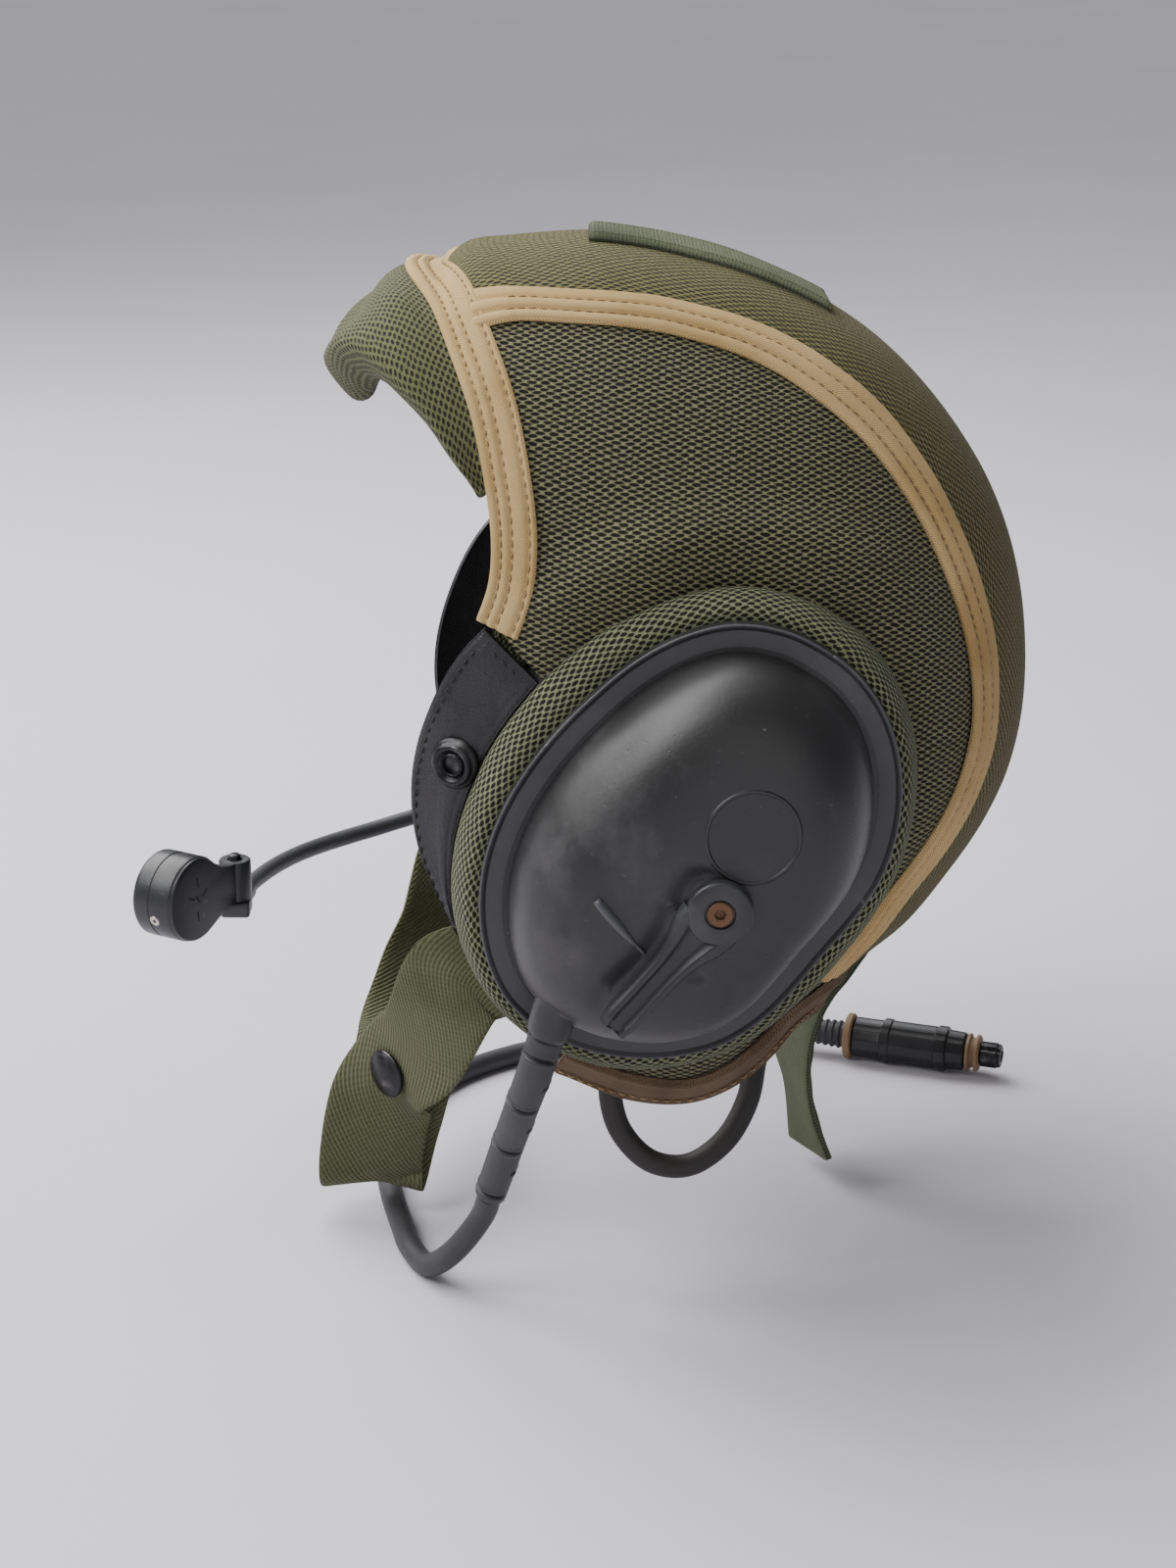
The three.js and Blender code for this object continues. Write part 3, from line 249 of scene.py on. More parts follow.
def turn_of(y, z):
    """Turn round the cup of the nearest place on its edge."""
    u = (y - EAR_BACK) * math.cos(CUP_TILT) + (z - EAR_Z) * math.sin(CUP_TILT)
    v = -(y - EAR_BACK) * math.sin(CUP_TILT) + (z - EAR_Z) * math.cos(CUP_TILT)
    t = np.arctan2(v / CUP_WIDTH, u / CUP_LENGTH)
    for _ in range(8):
        at = CUP_LENGTH * np.cos(t), CUP_WIDTH * np.sin(t)
        way = -CUP_LENGTH * np.sin(t), CUP_WIDTH * np.cos(t)
        off = u - at[0], v - at[1]
        bend = way[0] ** 2 + way[1] ** 2 + off[0] * at[0] + off[1] * at[1]
        t = t + (off[0] * way[0] + off[1] * way[1]) / bend
    return np.degrees(t)


def surround_edge(turn):
    return SURROUND * along(SURROUND_SHARES, 0, 1, turn % 360)


# Curves

def smooth_line(points, per_span=24):
    """Dense points on a smooth curve through the given ones."""
    points = np.asarray(points, float)
    padded = np.vstack([2 * points[0] - points[1], points, 2 * points[-1] - points[-2]])
    line = []
    for p0, p1, p2, p3 in zip(padded, padded[1:], padded[2:], padded[3:]):
        spans = (p0, p1), (p1, p2), (p2, p3)
        d0, d1, d2 = (max(np.linalg.norm(b - a) ** 0.5, 1e-4) for a, b in spans)
        m1 = ((p1 - p0) / d0 - (p2 - p0) / (d0 + d1) + (p2 - p1) / d1) * d1
        m2 = ((p2 - p1) / d1 - (p3 - p1) / (d1 + d2) + (p3 - p2) / d2) * d1
        t = np.linspace(0, 1, per_span, endpoint=False)[:, None]
        line.append(
            p1 * (2 * t ** 3 - 3 * t ** 2 + 1) + p2 * (3 * t ** 2 - 2 * t ** 3)
            + m1 * (t ** 3 - 2 * t ** 2 + t) + m2 * (t ** 3 - t ** 2)
        )
    return np.vstack([*line, points[-1:]])


def lengths(line):
    return np.concatenate([[0], np.cumsum(np.linalg.norm(np.diff(line, axis=0), axis=1))])


def at_lengths(line, run, way=None):
    """Points at lengths along a line. Way holds the lengths up to its points, if not its own."""
    way = lengths(line) if way is None else way
    return np.stack([np.interp(run, way, column) for column in line.T], -1)


def at_shares(line, shares):
    """Points at shares of a line's length."""
    way = lengths(line)
    return at_lengths(line, np.asarray(shares) * way[-1], way)


def name_of(right):
    return "right" if right else "left"


def seam(rows):
    return smooth_line(cap_skin(rows[:, 0], rows[:, 1]))


def both_sides(rows):
    """A seam's rows from the right ear over the middle to the left ear."""
    return np.vstack([rows[:0:-1] * [1, -1], rows])


# Meshes

def piece(name, points, faces, look, body="cap", uvs=None, uv_faces=None, sharp=None, right=False):
    """A mesh object from points in millimetres. With right, it is mirrored to the wearer's right."""
    points = np.asarray(points, float) * MM
    if right:
        points = points * [-1, 1, 1]
        faces = turned(faces)
        uv_faces = None if uv_faces is None else turned(uv_faces)
    mesh = bpy.data.meshes.new(name)
    mesh.from_pydata(points.tolist(), [], [tuple(map(int, f)) for f in faces])
    if uvs is not None:
        corners = [c for f in (uv_faces if uv_faces is not None else faces) for c in f]
        layer = mesh.uv_layers.new(name="cloth")
        layer.data.foreach_set("uv", (np.asarray(uvs, float)[corners] * MM).ravel())
    mesh.shade_smooth()
    if sharp is not None:
        mesh.set_sharp_from_angle(angle=math.radians(sharp))
    mesh.materials.append(look)
    made = bpy.data.objects.new(name, mesh)
    bpy.context.scene.collection.objects.link(made)
    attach(made, body)
    return made


def turned(faces):
    return [tuple(reversed(f)) for f in faces]


def outward(points, faces):
    """Whether the faces of a closed body look away from it."""
    volume = 0.0
    for f in faces:
        a = points[f[0]]
        for b, c in zip(f[1:], f[2:]):
            volume += np.dot(a, np.cross(points[b], points[c]))
    return volume >= 0


def grid_faces(n, m, wrap=False, offset=0):
    """Four-cornered faces of a grid with n rows and m columns. Wrap joins the last column to the first."""
    cols = m if wrap else m - 1
    i, j = np.meshgrid(np.arange(n - 1), np.arange(cols), indexing="ij")
    k = (j + 1) % m
    corners = np.stack([i * m + j, i * m + k, (i + 1) * m + k, (i + 1) * m + j], -1)
    return (corners.reshape(-1, 4) + offset).tolist()


def loft(name, rings, look, ends=(True, True), loop=False, uv=None, **kind):
    """A piece through closed rings of points. Loop joins the last ring to the first."""
    rings = np.asarray(rings, float)
    if loop:
        rings = np.concatenate([rings, rings[:1]])
    n, m = rings.shape[:2]
    unrolled = np.concatenate([rings, rings[:, :1]], 1)
    if uv is None:
        around = np.linalg.norm(np.diff(unrolled, axis=1), axis=2).sum(1).mean()
        middle = lengths(rings.mean(1)) if not loop else lengths(rings[:, 0])
        uv = np.stack(np.meshgrid(middle, np.linspace(0, around, m + 1), indexing="ij"), -1)
    faces = grid_faces(n, m, wrap=True)
    uv_faces = grid_faces(n, m + 1)
    points = rings.reshape(-1, 3)
    if loop:
        last = (n - 1) * m
        faces = [tuple(v - last if v >= last else v for v in f) for f in faces]
        points = points[:last]
    else:
        base = [points]
        for end, row in ((0, 0), (1, n - 1)):
            if not ends[end]:
                continue
            tip = len(points) + len(base) - 1
            base.append(rings[row].mean(0)[None])
            ring = [row * m + j for j in range(m)]
            for j in range(m):
                a, b = ring[j], ring[(j + 1) % m]
                faces.append((tip, b, a) if end == 0 else (tip, a, b))
                uv_faces.append((row * (m + 1) + j,) * 3)
        points = np.vstack(base)
    if not outward(points, faces):
        faces, uv_faces = turned(faces), turned(uv_faces)
    return piece(name, points, faces, look, uvs=uv.reshape(-1, 2), uv_faces=uv_faces, **kind)


def padded_sheet(name, outer, inner, uv, look, bulge=0.0, **kind):
    """A closed piece between two grids of points, with its edge rounded outwards by bulge."""
    n, m = outer.shape[:2]
    index = np.arange(n * m).reshape(n, m)
    rim = np.concatenate([index[:, 0], index[-1, 1:], index[-2::-1, -1], index[0, -2:0:-1]])
    near = np.concatenate([index[:, 1], index[-2, 1:], index[-2::-1, -2], index[1, -2:0:-1]])
    top, low = outer.reshape(-1, 3), inner.reshape(-1, 3)
    out = unit(top[rim] - top[near])
    middle = (top[rim] + low[rim]) / 2 + out * bulge
    count = n * m
    faces = grid_faces(n, m) + turned(grid_faces(n, m, offset=count))
    for j in range(len(rim)):
        k = (j + 1) % len(rim)
        a, b, c, d = rim[j], rim[k], 2 * count + j, 2 * count + k
        faces.append((b, a, c, d))
        faces.append((d, c, a + count, b + count))
    points = np.vstack([top, low, middle])
    faces = faces if outward(points, faces) else turned(faces)
    flat = uv.reshape(-1, 2)
    return piece(name, points, faces, look, uvs=np.vstack([flat, flat, flat[rim]]), **kind)


def cloth_uv(grid):
    """Lengths over a grid of points: across from its middle column, and along its middle column."""
    m = grid.shape[1] // 2
    across = np.stack([lengths(row) for row in grid])
    down = lengths(grid[:, m])
    return np.stack([across - across[:, m:m + 1], np.broadcast_to(down[:, None], across.shape)], -1)


def circle(count):
    t = np.linspace(0, 2 * math.pi, count, endpoint=False)
    return np.cos(t), np.sin(t)


def basis(way, up=(0, 0, 1)):
    """Two directions across a way, the first level with up as far as it can be."""
    way = unit(np.asarray(way, float))
    one = np.cross(up, way)
    if np.linalg.norm(one) < 1e-3:
        one = np.cross((1, 0, 0), way)
    one = unit(one)
    return one, np.cross(way, one)


def lathe(name, start, way, profile, look, sides=48, shape=None, **kind):
    """A turned piece: profile rows are radius and distance along the way. Shape bends the radius by row."""
    one, two = basis(way)
    cos, sin = circle(sides)
    rings = []
    for k, (radius, reach) in enumerate(profile):
        r = np.full(sides, float(radius)) if shape is None else shape(k, radius, np.arctan2(sin, cos))
        centre = np.asarray(start) + unit(np.asarray(way)) * reach
        rings.append(centre + np.outer(r * cos, one) + np.outer(r * sin, two))
    return loft(name, rings, look, **kind)


def tube_rings(line, radius, sides=20):
    """Rings round a line with no twist. Radius is one number or one for each point and side."""
    ways = unit(np.gradient(line, axis=0))
    one = np.empty_like(line)
    one[0] = basis(ways[0])[0]
    for i in range(1, len(line)):
        one[i] = unit(one[i - 1] - ways[i] * np.dot(one[i - 1], ways[i]))
    two = np.cross(ways, one)
    cos, sin = circle(sides)
    radius = np.broadcast_to(radius, (len(line), sides))[..., None]
    return line[:, None] + radius * (one[:, None] * cos[:, None] + two[:, None] * sin[:, None])


def trim(made, node):
    """A piece that stands for a CAD node, which is hidden."""
    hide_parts(node)
    return made


def join(name, *parts):
    """One object of several, under a new name."""
    bpy.ops.object.select_all(action="DESELECT")
    for part in parts:
        part.select_set(True)
    bpy.context.view_layer.objects.active = parts[0]
    bpy.ops.object.join()
    parts[0].name = name
    parts[0].data.name = name
    return parts[0]


# Materials

class Look:
    """A material's nodes, with short calls for what these finishes need."""

    def __init__(self, name, roughness, metallic=0.0, **extra):
        self.material = bpy.data.materials.new(name)
        self.material.use_nodes = True
        self.tree = self.material.node_tree
        self.shader = self.tree.nodes["Principled BSDF"]
        self.shader.inputs["Roughness"].default_value = roughness
        self.shader.inputs["Metallic"].default_value = metallic
        for key, value in extra.items():
            self.shader.inputs[key.replace("_", " ")].default_value = value
        coordinates = self.tree.nodes.new("ShaderNodeTexCoord")
        self.place = coordinates.outputs["Object"]
        uv = self.tree.nodes.new("ShaderNodeUVMap")
        uv.uv_map = "cloth"
        self.uv = uv.outputs["UV"]

    def put(self, socket, value):
        if isinstance(value, bpy.types.NodeSocket):
            self.tree.links.new(value, socket)
        else:
            socket.default_value = value

    def put_color(self, socket, color):
        self.put(socket, color if isinstance(color, bpy.types.NodeSocket) else (*color, 1))

    def math(self, operation, a, b=0.0, clamp=False):
        node = self.tree.nodes.new("ShaderNodeMath")
        node.operation = operation
        node.use_clamp = clamp
        self.put(node.inputs[0], a)
        self.put(node.inputs[1], b)
        return node.outputs[0]

    def vector(self, operation, a, b=(0, 0, 0)):
        node = self.tree.nodes.new("ShaderNodeVectorMath")
        node.operation = operation
        self.put(node.inputs[0], a)
        self.put(node.inputs[1], b)
        return node.outputs["Value" if operation == "LENGTH" else "Vector"]

    def noise(self, scale, detail=3.0, at=None, rough=0.55):
        node = self.tree.nodes.new("ShaderNodeTexNoise")
        self.put(node.inputs["Vector"], self.place if at is None else at)
        node.inputs["Scale"].default_value = scale
        node.inputs["Detail"].default_value = detail
        node.inputs["Roughness"].default_value = rough
        return node.outputs["Fac"]

    def cells(self, scale):
        """Distance to the edges of small uneven cells."""
        node = self.tree.nodes.new("ShaderNodeTexVoronoi")
        node.feature = "DISTANCE_TO_EDGE"
        self.put(node.inputs["Vector"], self.place)
        node.inputs["Scale"].default_value = scale
        return node.outputs["Distance"]

    def span(self, value, low, high, to_low=0.0, to_high=1.0):
        node = self.tree.nodes.new("ShaderNodeMapRange")
        node.interpolation_type = "SMOOTHSTEP"
        for key, number in zip(("From Min", "From Max", "To Min", "To Max"), (low, high, to_low, to_high)):
            node.inputs[key].default_value = number
        self.put(node.inputs["Value"], value)
        return node.outputs["Result"]

    def turn(self, degrees):
        """The cloth's flat coordinates, turned."""
        node = self.tree.nodes.new("ShaderNodeVectorRotate")
        node.rotation_type = "Z_AXIS"
        self.put(node.inputs["Vector"], self.uv)
        node.inputs["Angle"].default_value = math.radians(degrees)
        return node.outputs["Vector"]

    def add(self, a, b, share=1.0, clamp=False):
        """A and a share of b together."""
        return self.math("ADD", a, self.math("MULTIPLY", b, share), clamp=clamp)

    def blend(self, share, a, b):
        node = self.tree.nodes.new("ShaderNodeMix")
        node.data_type = "RGBA"
        self.put(node.inputs["Factor"], share)
        self.put_color(node.inputs["A"], a)
        self.put_color(node.inputs["B"], b)
        return node.outputs["Result"]

    def axis(self, vector, letter):
        node = self.tree.nodes.new("ShaderNodeSeparateXYZ")
        self.put(node.inputs[0], vector)
        return node.outputs[letter]

    def relief(self, height, depth, below=None):
        """Bump of a depth in millimetres, over another relief if one is given."""
        node = self.tree.nodes.new("ShaderNodeBump")
        node.inputs["Distance"].default_value = depth * MM
        self.put(node.inputs["Height"], height)
        if below is not None:
            self.put(node.inputs["Normal"], below)
        return node.outputs["Normal"]

    def finish(self, color, normal=None, roughness=None):
        self.put_color(self.shader.inputs["Base Color"], color)
        if normal is not None:
            self.put(self.shader.inputs["Normal"], normal)
        if roughness is not None:
            self.put(self.shader.inputs["Roughness"], roughness)
        return self.material


def mesh_cloth(name, yarn, hole_shade, pitch, hole, dust, turn=0.0):
    """Knitted mesh: rows of long holes, each row shifted by half a hole. Pitch and hole are millimetres."""
    look = Look(name, 0.88, Sheen_Weight=0.06, Sheen_Roughness=0.5, Specular_IOR_Level=0.2)
    wander = look.noise(130.0, 2.0, at=look.uv)
    sway = look.math("MULTIPLY", look.math("SUBTRACT", wander, 0.5), 0.0016)
    shaken = look.vector("ADD", look.turn(turn), sway)
    cell = look.vector("DIVIDE", shaken, (pitch[0] * MM, pitch[1] * MM, 1.0))
    holes = []
    for shift in ((0.0, 0.0, 0.0), (0.5, 0.5, 0.0)):
        part = look.vector("FRACTION", look.vector("ADD", cell, shift))
        off = look.vector("SUBTRACT", part, (0.5, 0.5, 0.0))
        off = look.vector("MULTIPLY", off, (pitch[0] / hole[0], pitch[1] / hole[1], 0.0))
        holes.append(look.vector("LENGTH", off))
    fibre = look.noise(2600.0, 2.0)
    frayed = look.add(look.math("MINIMUM", *holes), look.math("SUBTRACT", fibre, 0.5), 0.5)
    height = look.span(frayed, 0.72, 1.2)
    fade = look.span(look.noise(16.0, 4.0), 0.42, 0.68)
    worn = look.blend(look.math("MULTIPLY", fade, 0.5), yarn, dust)
    # Lighter flecks on the yarn are a painted highlight
    yarn_highlight = tuple(1.7 * c for c in yarn)
    highlighted_yarn = look.blend(look.math("MULTIPLY", look.span(fibre, 0.4, 0.7), 0.55), worn, yarn_highlight)
    # The holes are given a near-black colour: painted shade of the recesses under the yarn
    return look.finish(look.blend(height, hole_shade, highlighted_yarn), look.relief(look.add(height, fibre, 0.3), 0.9))


def woven(name, color, dirt_and_shade, light, rib, turn, depth, fuzz=0.0):
    """Woven cloth with fine ribs. Rib is their pitch in millimetres."""
    look = Look(name, 0.9, Sheen_Weight=0.04, Sheen_Roughness=0.5, Specular_IOR_Level=0.2)
    ribbed = look.vector("DIVIDE", look.turn(turn), (rib * MM / (2 * math.pi),) * 3)
    ribs = look.math("SINE", look.axis(ribbed, "X"))
    knots = look.math("SINE", look.math("MULTIPLY", look.axis(ribbed, "Y"), 0.8))
    weave = look.math("ADD", look.add(look.math("MULTIPLY", ribs, 0.35), knots, 0.15), 0.5)
    shade = look.blend(look.span(look.noise(30.0, 5.0), 0.38, 0.66), light, color)
    dirt = look.math("MULTIPLY", look.span(look.noise(11.0, 4.0), 0.5, 0.72), 0.4)
    dirty = look.blend(dirt, shade, dirt_and_shade)
    # Hollows between the ribs are darkened towards the dark colour: painted shade
    tone = look.blend(look.math("MULTIPLY", look.span(weave, 0.55, 0.1), 0.55), dirty, dirt_and_shade)
    return look.finish(tone, look.relief(look.add(weave, look.noise(3200.0, 2.0), 0.35 + fuzz), depth))


def plastic(name, base, scuff, rough, grain=0.05, scuffs=0.5, ring=None):
    """Moulded plastic with rubbed patches and scratches. Ring is the y, z and radius of a raised line."""
    look = Look(name, rough, Specular_IOR_Level=0.5)
    patch = look.span(look.noise(24.0, 6.0, rough=0.65), 0.48, 0.74)
    stretched = look.vector("MULTIPLY", look.place, (40.0, 300.0, 900.0))
    scratches = look.span(look.noise(1.0, 2.0, at=stretched), 0.68, 0.78)
    flecks = look.span(look.noise(170.0, 2.0), 0.74, 0.78)
    rub = look.add(look.math("MULTIPLY", patch, scuffs), scratches, 0.25)
    rub = look.add(rub, flecks, 0.7, clamp=True)
    fine = look.noise(900.0, 3.0)
    roughness = look.add(look.math("MULTIPLY", patch, 0.14), fine, 0.12)
    roughness = look.math("ADD", roughness, rough - 0.08)
    bumps = look.relief(scratches, -0.04, below=look.relief(fine, grain))
    if ring is not None:
        off = look.vector("SUBTRACT", look.place, (0.0, ring[0] * MM, ring[1] * MM))
        away = look.vector("LENGTH", look.vector("MULTIPLY", off, (0.0, 1.0, 1.0)))
        beside = look.math("ABSOLUTE", look.math("SUBTRACT", away, ring[2] * MM))
        line = look.span(beside, 0.0001, 0.0007, 1.0, 0.0)
        bumps = look.relief(line, 0.5, below=bumps)
        rub = look.add(rub, line, 0.12, clamp=True)
    return look.finish(look.blend(rub, base, scuff), bumps, roughness)


def leather(name):
    """Creased leather, rubbed grey on its folds."""
    look = Look(name, 0.5, Specular_IOR_Level=0.45)
    grain = look.cells(900.0)
    crease = look.noise(70.0, 5.0, at=look.vector("MULTIPLY", look.place, (1.0, 1.6, 0.6)))
    worn = look.span(crease, 0.5, 0.75)
    color = look.blend(look.math("MULTIPLY", worn, 0.4), (0.014, 0.013, 0.015), (0.055, 0.052, 0.056))
    rough = look.span(worn, 0.0, 1.0, 0.45, 0.62)
    base = look.relief(look.span(grain, 0.0, 0.25), 0.06)
    return look.finish(color, look.relief(crease, 0.8, below=base), rough)


def metal(name, base, worn, rough, amount=0.5, metallic=0.85):
    """Metal with patches of a worn colour."""
    look = Look(name, rough, metallic=metallic)
    patch = look.math("MULTIPLY", look.span(look.noise(150.0, 5.0), 0.5, 0.75), amount)
    fine = look.noise(2200.0, 3.0)
    roughness = look.span(fine, 0.3, 0.8, rough - 0.1, rough + 0.15)
    return look.finish(look.blend(patch, base, worn), look.relief(fine, 0.04), roughness)


# Meshes: yarn, painted shade in the holes, pitch along and across the rows, half size of a hole, dusty yarn
MESH = mesh_cloth(
    "olive_mesh", (0.188, 0.182, 0.095), (0.010, 0.009, 0.006), (3.8, 2.0), (1.3, 0.5), (0.19, 0.185, 0.125),
    turn=-4.0,
)
CROWN_MESH = mesh_cloth(
    "crown_mesh", (0.148, 0.135, 0.048), (0.020, 0.018, 0.009), (3.8, 2.0), (1.2, 0.44), (0.16, 0.15, 0.07),
    turn=90.0,
)
BROW_MESH = mesh_cloth(
    "brow_mesh", (0.108, 0.114, 0.052), (0.018, 0.018, 0.010), (3.0, 2.2), (0.85, 0.42), (0.16, 0.16, 0.09),
)
ROLL_MESH = mesh_cloth(
    "roll_mesh", (0.165, 0.182, 0.10), (0.012, 0.012, 0.007), (3.4, 2.1), (1.05, 0.52), (0.19, 0.205, 0.125),
)
TAN = woven("tan_cotton", (0.50, 0.335, 0.135), (0.17, 0.10, 0.042), (0.60, 0.42, 0.19), 0.55, 45.0, 0.12)
# Nape hem cloth made dark brown: partly dirt, partly painted shadow from the ear cup above it
SHADED_HEM_CLOTH = woven(
    "hem_dirt_and_painted_shade", (0.105, 0.068, 0.038), (0.03, 0.02, 0.012), (0.17, 0.115, 0.07), 0.6, 45.0, 0.14,
)
THREAD = woven("tan_thread", (0.33, 0.225, 0.11), (0.14, 0.09, 0.04), (0.42, 0.3, 0.16), 0.3, 30.0, 0.08)
WEBBING = woven(
    "olive_webbing", (0.09, 0.098, 0.045), (0.03, 0.032, 0.016), (0.125, 0.13, 0.07), 1.25, 32.0, 0.45,
)
TAPE = woven(
    "green_tape", (0.12, 0.145, 0.08), (0.03, 0.035, 0.022), (0.17, 0.19, 0.11), 0.9, 0.0, 0.5, fuzz=1.2,
)
ROUNDEL = (17.1, -135.6, 12.5)
PLASTIC = plastic(
    "cup_plastic", (0.017, 0.0165, 0.017), (0.11, 0.105, 0.105), 0.42, scuffs=0.35, ring=ROUNDEL,
)
# Paler plastic for the flange's edge bead and the stop ridge: partly wear, partly a painted highlight on
# their edges
RIM_WEAR_AND_HIGHLIGHT = plastic("rim_plastic_wear_and_highlight", (0.06, 0.062, 0.066), (0.17, 0.17, 0.17), 0.5)
DUSTY_PLASTIC = plastic("dusty_plastic", (0.05, 0.05, 0.051), (0.12, 0.12, 0.12), 0.6)
ARM_PLASTIC = plastic("arm_plastic", (0.02, 0.02, 0.023), (0.09, 0.095, 0.1), 0.4, scuffs=0.4)
MIC_PLASTIC = plastic("mic_plastic", (0.009, 0.009, 0.011), (0.05, 0.055, 0.06), 0.38, scuffs=0.35)
RUBBER = plastic("rubber", (0.030, 0.030, 0.033), (0.085, 0.085, 0.09), 0.55, grain=0.03, scuffs=0.5)
LINK_RUBBER = plastic("link_rubber", (0.016, 0.014, 0.012), (0.04, 0.036, 0.03), 0.6, grain=0.03)
LEATHER = leather("black_leather")
DARK_METAL = metal("dark_metal", (0.03, 0.03, 0.032), (0.22, 0.21, 0.2), 0.38)
RUST = metal("rusty_brass", (0.14, 0.07, 0.035), (0.30, 0.20, 0.11), 0.6, metallic=0.5)
PLUG_TAN = plastic("plug_band", (0.21, 0.13, 0.065), (0.12, 0.08, 0.045), 0.6, grain=0.1)
PALE_METAL = metal("pale_metal", (0.62, 0.56, 0.47), (0.3, 0.22, 0.15), 0.35, amount=0.3)
DARK_THREAD = woven(
    "dark_thread", (0.02, 0.02, 0.02), (0.01, 0.01, 0.01), (0.05, 0.05, 0.045), 0.3, 30.0, 0.08,
)
# Near-black for the plate's slits, standing in for the shade inside their openings: painted shade
SLIT_SHADE = plastic("slit_painted_shade", (0.004, 0.004, 0.004), (0.01, 0.01, 0.01), 0.8, scuffs=0.1)

# Camera and cords come first

camera = bpy.data.objects.new("camera", bpy.data.cameras.new("camera"))
camera.data.lens = CAMERA_LENS
camera.location = CAMERA_PLACE
camera.rotation_euler = (math.radians(90 - CAMERA_PITCH), 0, math.radians(90))
bpy.context.scene.collection.objects.link(camera)
bpy.context.scene.camera = camera
bpy.context.view_layer.update()

# Lead: leaves the left cup through its relief, drops to the floor, passes behind and ends in the plug
BOSS_TOP = np.array([DOME_BASE + 0.37 * DOME_RISE, EAR_BACK - 35.2, EAR_Z - 34])
LEAD_WAY = unit(np.array([-0.08, -0.28, -0.955]))
BOSS_END = BOSS_TOP + LEAD_WAY * 15
RELIEF_TOP = BOSS_END + LEAD_WAY * FIT_GAP
RELIEF_END = np.array([80.0, -55.0, -260.0])
RELIEF_LINE = smooth_line([
    RELIEF_TOP, RELIEF_TOP + LEAD_WAY * 10, mix(RELIEF_TOP, RELIEF_END, 0.6), RELIEF_END,
])
RELIEF_OUT = unit(RELIEF_LINE[-1] - RELIEF_LINE[-2])
LEAD_RADIUS = 3.6
LEAD_Z = FLOOR / MM + LEAD_RADIUS
PLUG_RADIUS = 8.0
PLUG_Z = FLOOR / MM + PLUG_RADIUS
PLUG_START = np.array([-98.5, 50.5, PLUG_Z])
PLUG_WAY = unit(np.array([0.33, 0.944, 0.0]))
LEAD_START = RELIEF_END + RELIEF_OUT * FIT_GAP
PLUG_ENTRY = PLUG_START - PLUG_WAY * 9
LEAD_ROUTE = [
    LEAD_START, LEAD_START + RELIEF_OUT * 8, (75, -66, -281), (67, -74, LEAD_Z + 1.5), (54, -80, LEAD_Z),
    (38, -84, LEAD_Z), (20, -88, LEAD_Z), (0, -91, LEAD_Z), (-22, -91, LEAD_Z), (-46, -86, LEAD_Z),
    (-70, -72, LEAD_Z), (-88, -50, LEAD_Z), (-99, -22, LEAD_Z), (-104, 6, LEAD_Z), (-105, 26, LEAD_Z + 1),
    (PLUG_ENTRY[0], PLUG_ENTRY[1], PLUG_Z - 0.5), PLUG_START - PLUG_WAY * 0.4,
]
LINK_RADIUS = 3.5
LINK_ROUTE = [
    (71, -12, -209.8), (69.5, -12.5, -211.6), (65, -14, -215.5), (61, -17, -222), (57, -19, -230),
    (56, -20, -238), (57.5, -17, -250), (59, -8, -259.5), (59, 3, -261), (57, 14, -254), (52, 21, -243),
    (45, 24, -231), (37, 29, -221), (26, 34, -213), (12, 37, -209), (-4, 37.5, -208), (-20, 35.5, -209),
    (-34, 29, -213), (-46, 15, -218), (-55, 1, -221), (-60, -9, -219.5), (-65, -12, -215.5),
    (-69.5, -12.5, -211.6), (-71, -12, -209.8),
]


def cord(name, route, radius, node, look):
    """A round cable as one spline through its route."""
    line = at_shares(smooth_line(route), np.linspace(0, 1, 140)) * MM
    data = bpy.data.curves.new(name, "CURVE")
    data.dimensions = "3D"
    data.bevel_depth = radius * MM
    data.bevel_resolution = 6
    data.use_fill_caps = True
    spline = data.splines.new("POLY")
    spline.points.add(len(line) - 1)
    spline.points.foreach_set("co", np.c_[line, np.ones(len(line))].ravel())
    data.materials.append(look)
    made = bpy.data.objects.new(name, data)
    bpy.context.scene.collection.objects.link(made)
    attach(made, "cap")
    return trim(made, node), lengths(line)[-1], line[0]


lead, lead_length, lead_exit = cord("lead_cable", LEAD_ROUTE, LEAD_RADIUS, "lead", RUBBER)
link, link_length, link_exit = cord("cup_link_cable", LINK_ROUTE, LINK_RADIUS, "link_cable", LINK_RUBBER)


def strain_relief():
    """Rubber sleeve cut by slots that lie on alternate sides, their edges raised."""
    count, sides, slots = 260, 40, 7
    slot_depth, edge_rise, tip_drop = 1.5, 0.25, 0.9
    share = np.linspace(0, 1, count)
    line = at_shares(RELIEF_LINE, share)
    turn = np.linspace(0, 2 * math.pi, sides, endpoint=False)
    radius = np.repeat(mix(5.2, 4.6, share)[:, None], sides, 1)
    radius -= tip_drop * step(0.985, 1.0, share)[:, None]
    length = lengths(line)[-1]
    for k in range(1, slots + 1):
        off = np.abs(share - (k - 0.4) / slots) * length
        side = step(-0.35, 0.1, np.cos(turn - (0.6 if k % 2 else 3.4)))
        radius -= np.outer(1 - step(0.25, 0.75, off), slot_depth * side)
        radius += np.outer(bump(off - 1.2, 0.5), edge_rise * side)
    made = loft("lead_relief", tube_rings(line, radius, sides), RUBBER)
    return trim(made, "strain_relief")


def ribbed(k, radius, turn):
    """Fourteen shallow grips round the barrel."""
    return radius * (1 - 0.05 * (np.cos(turn * 14) > 0))


def fluted(k, radius, turn):
    """Four flutes along the tip, between its contacts."""
    return radius * (0.84 + 0.16 * np.abs(np.cos(turn * 2)) ** 0.4)


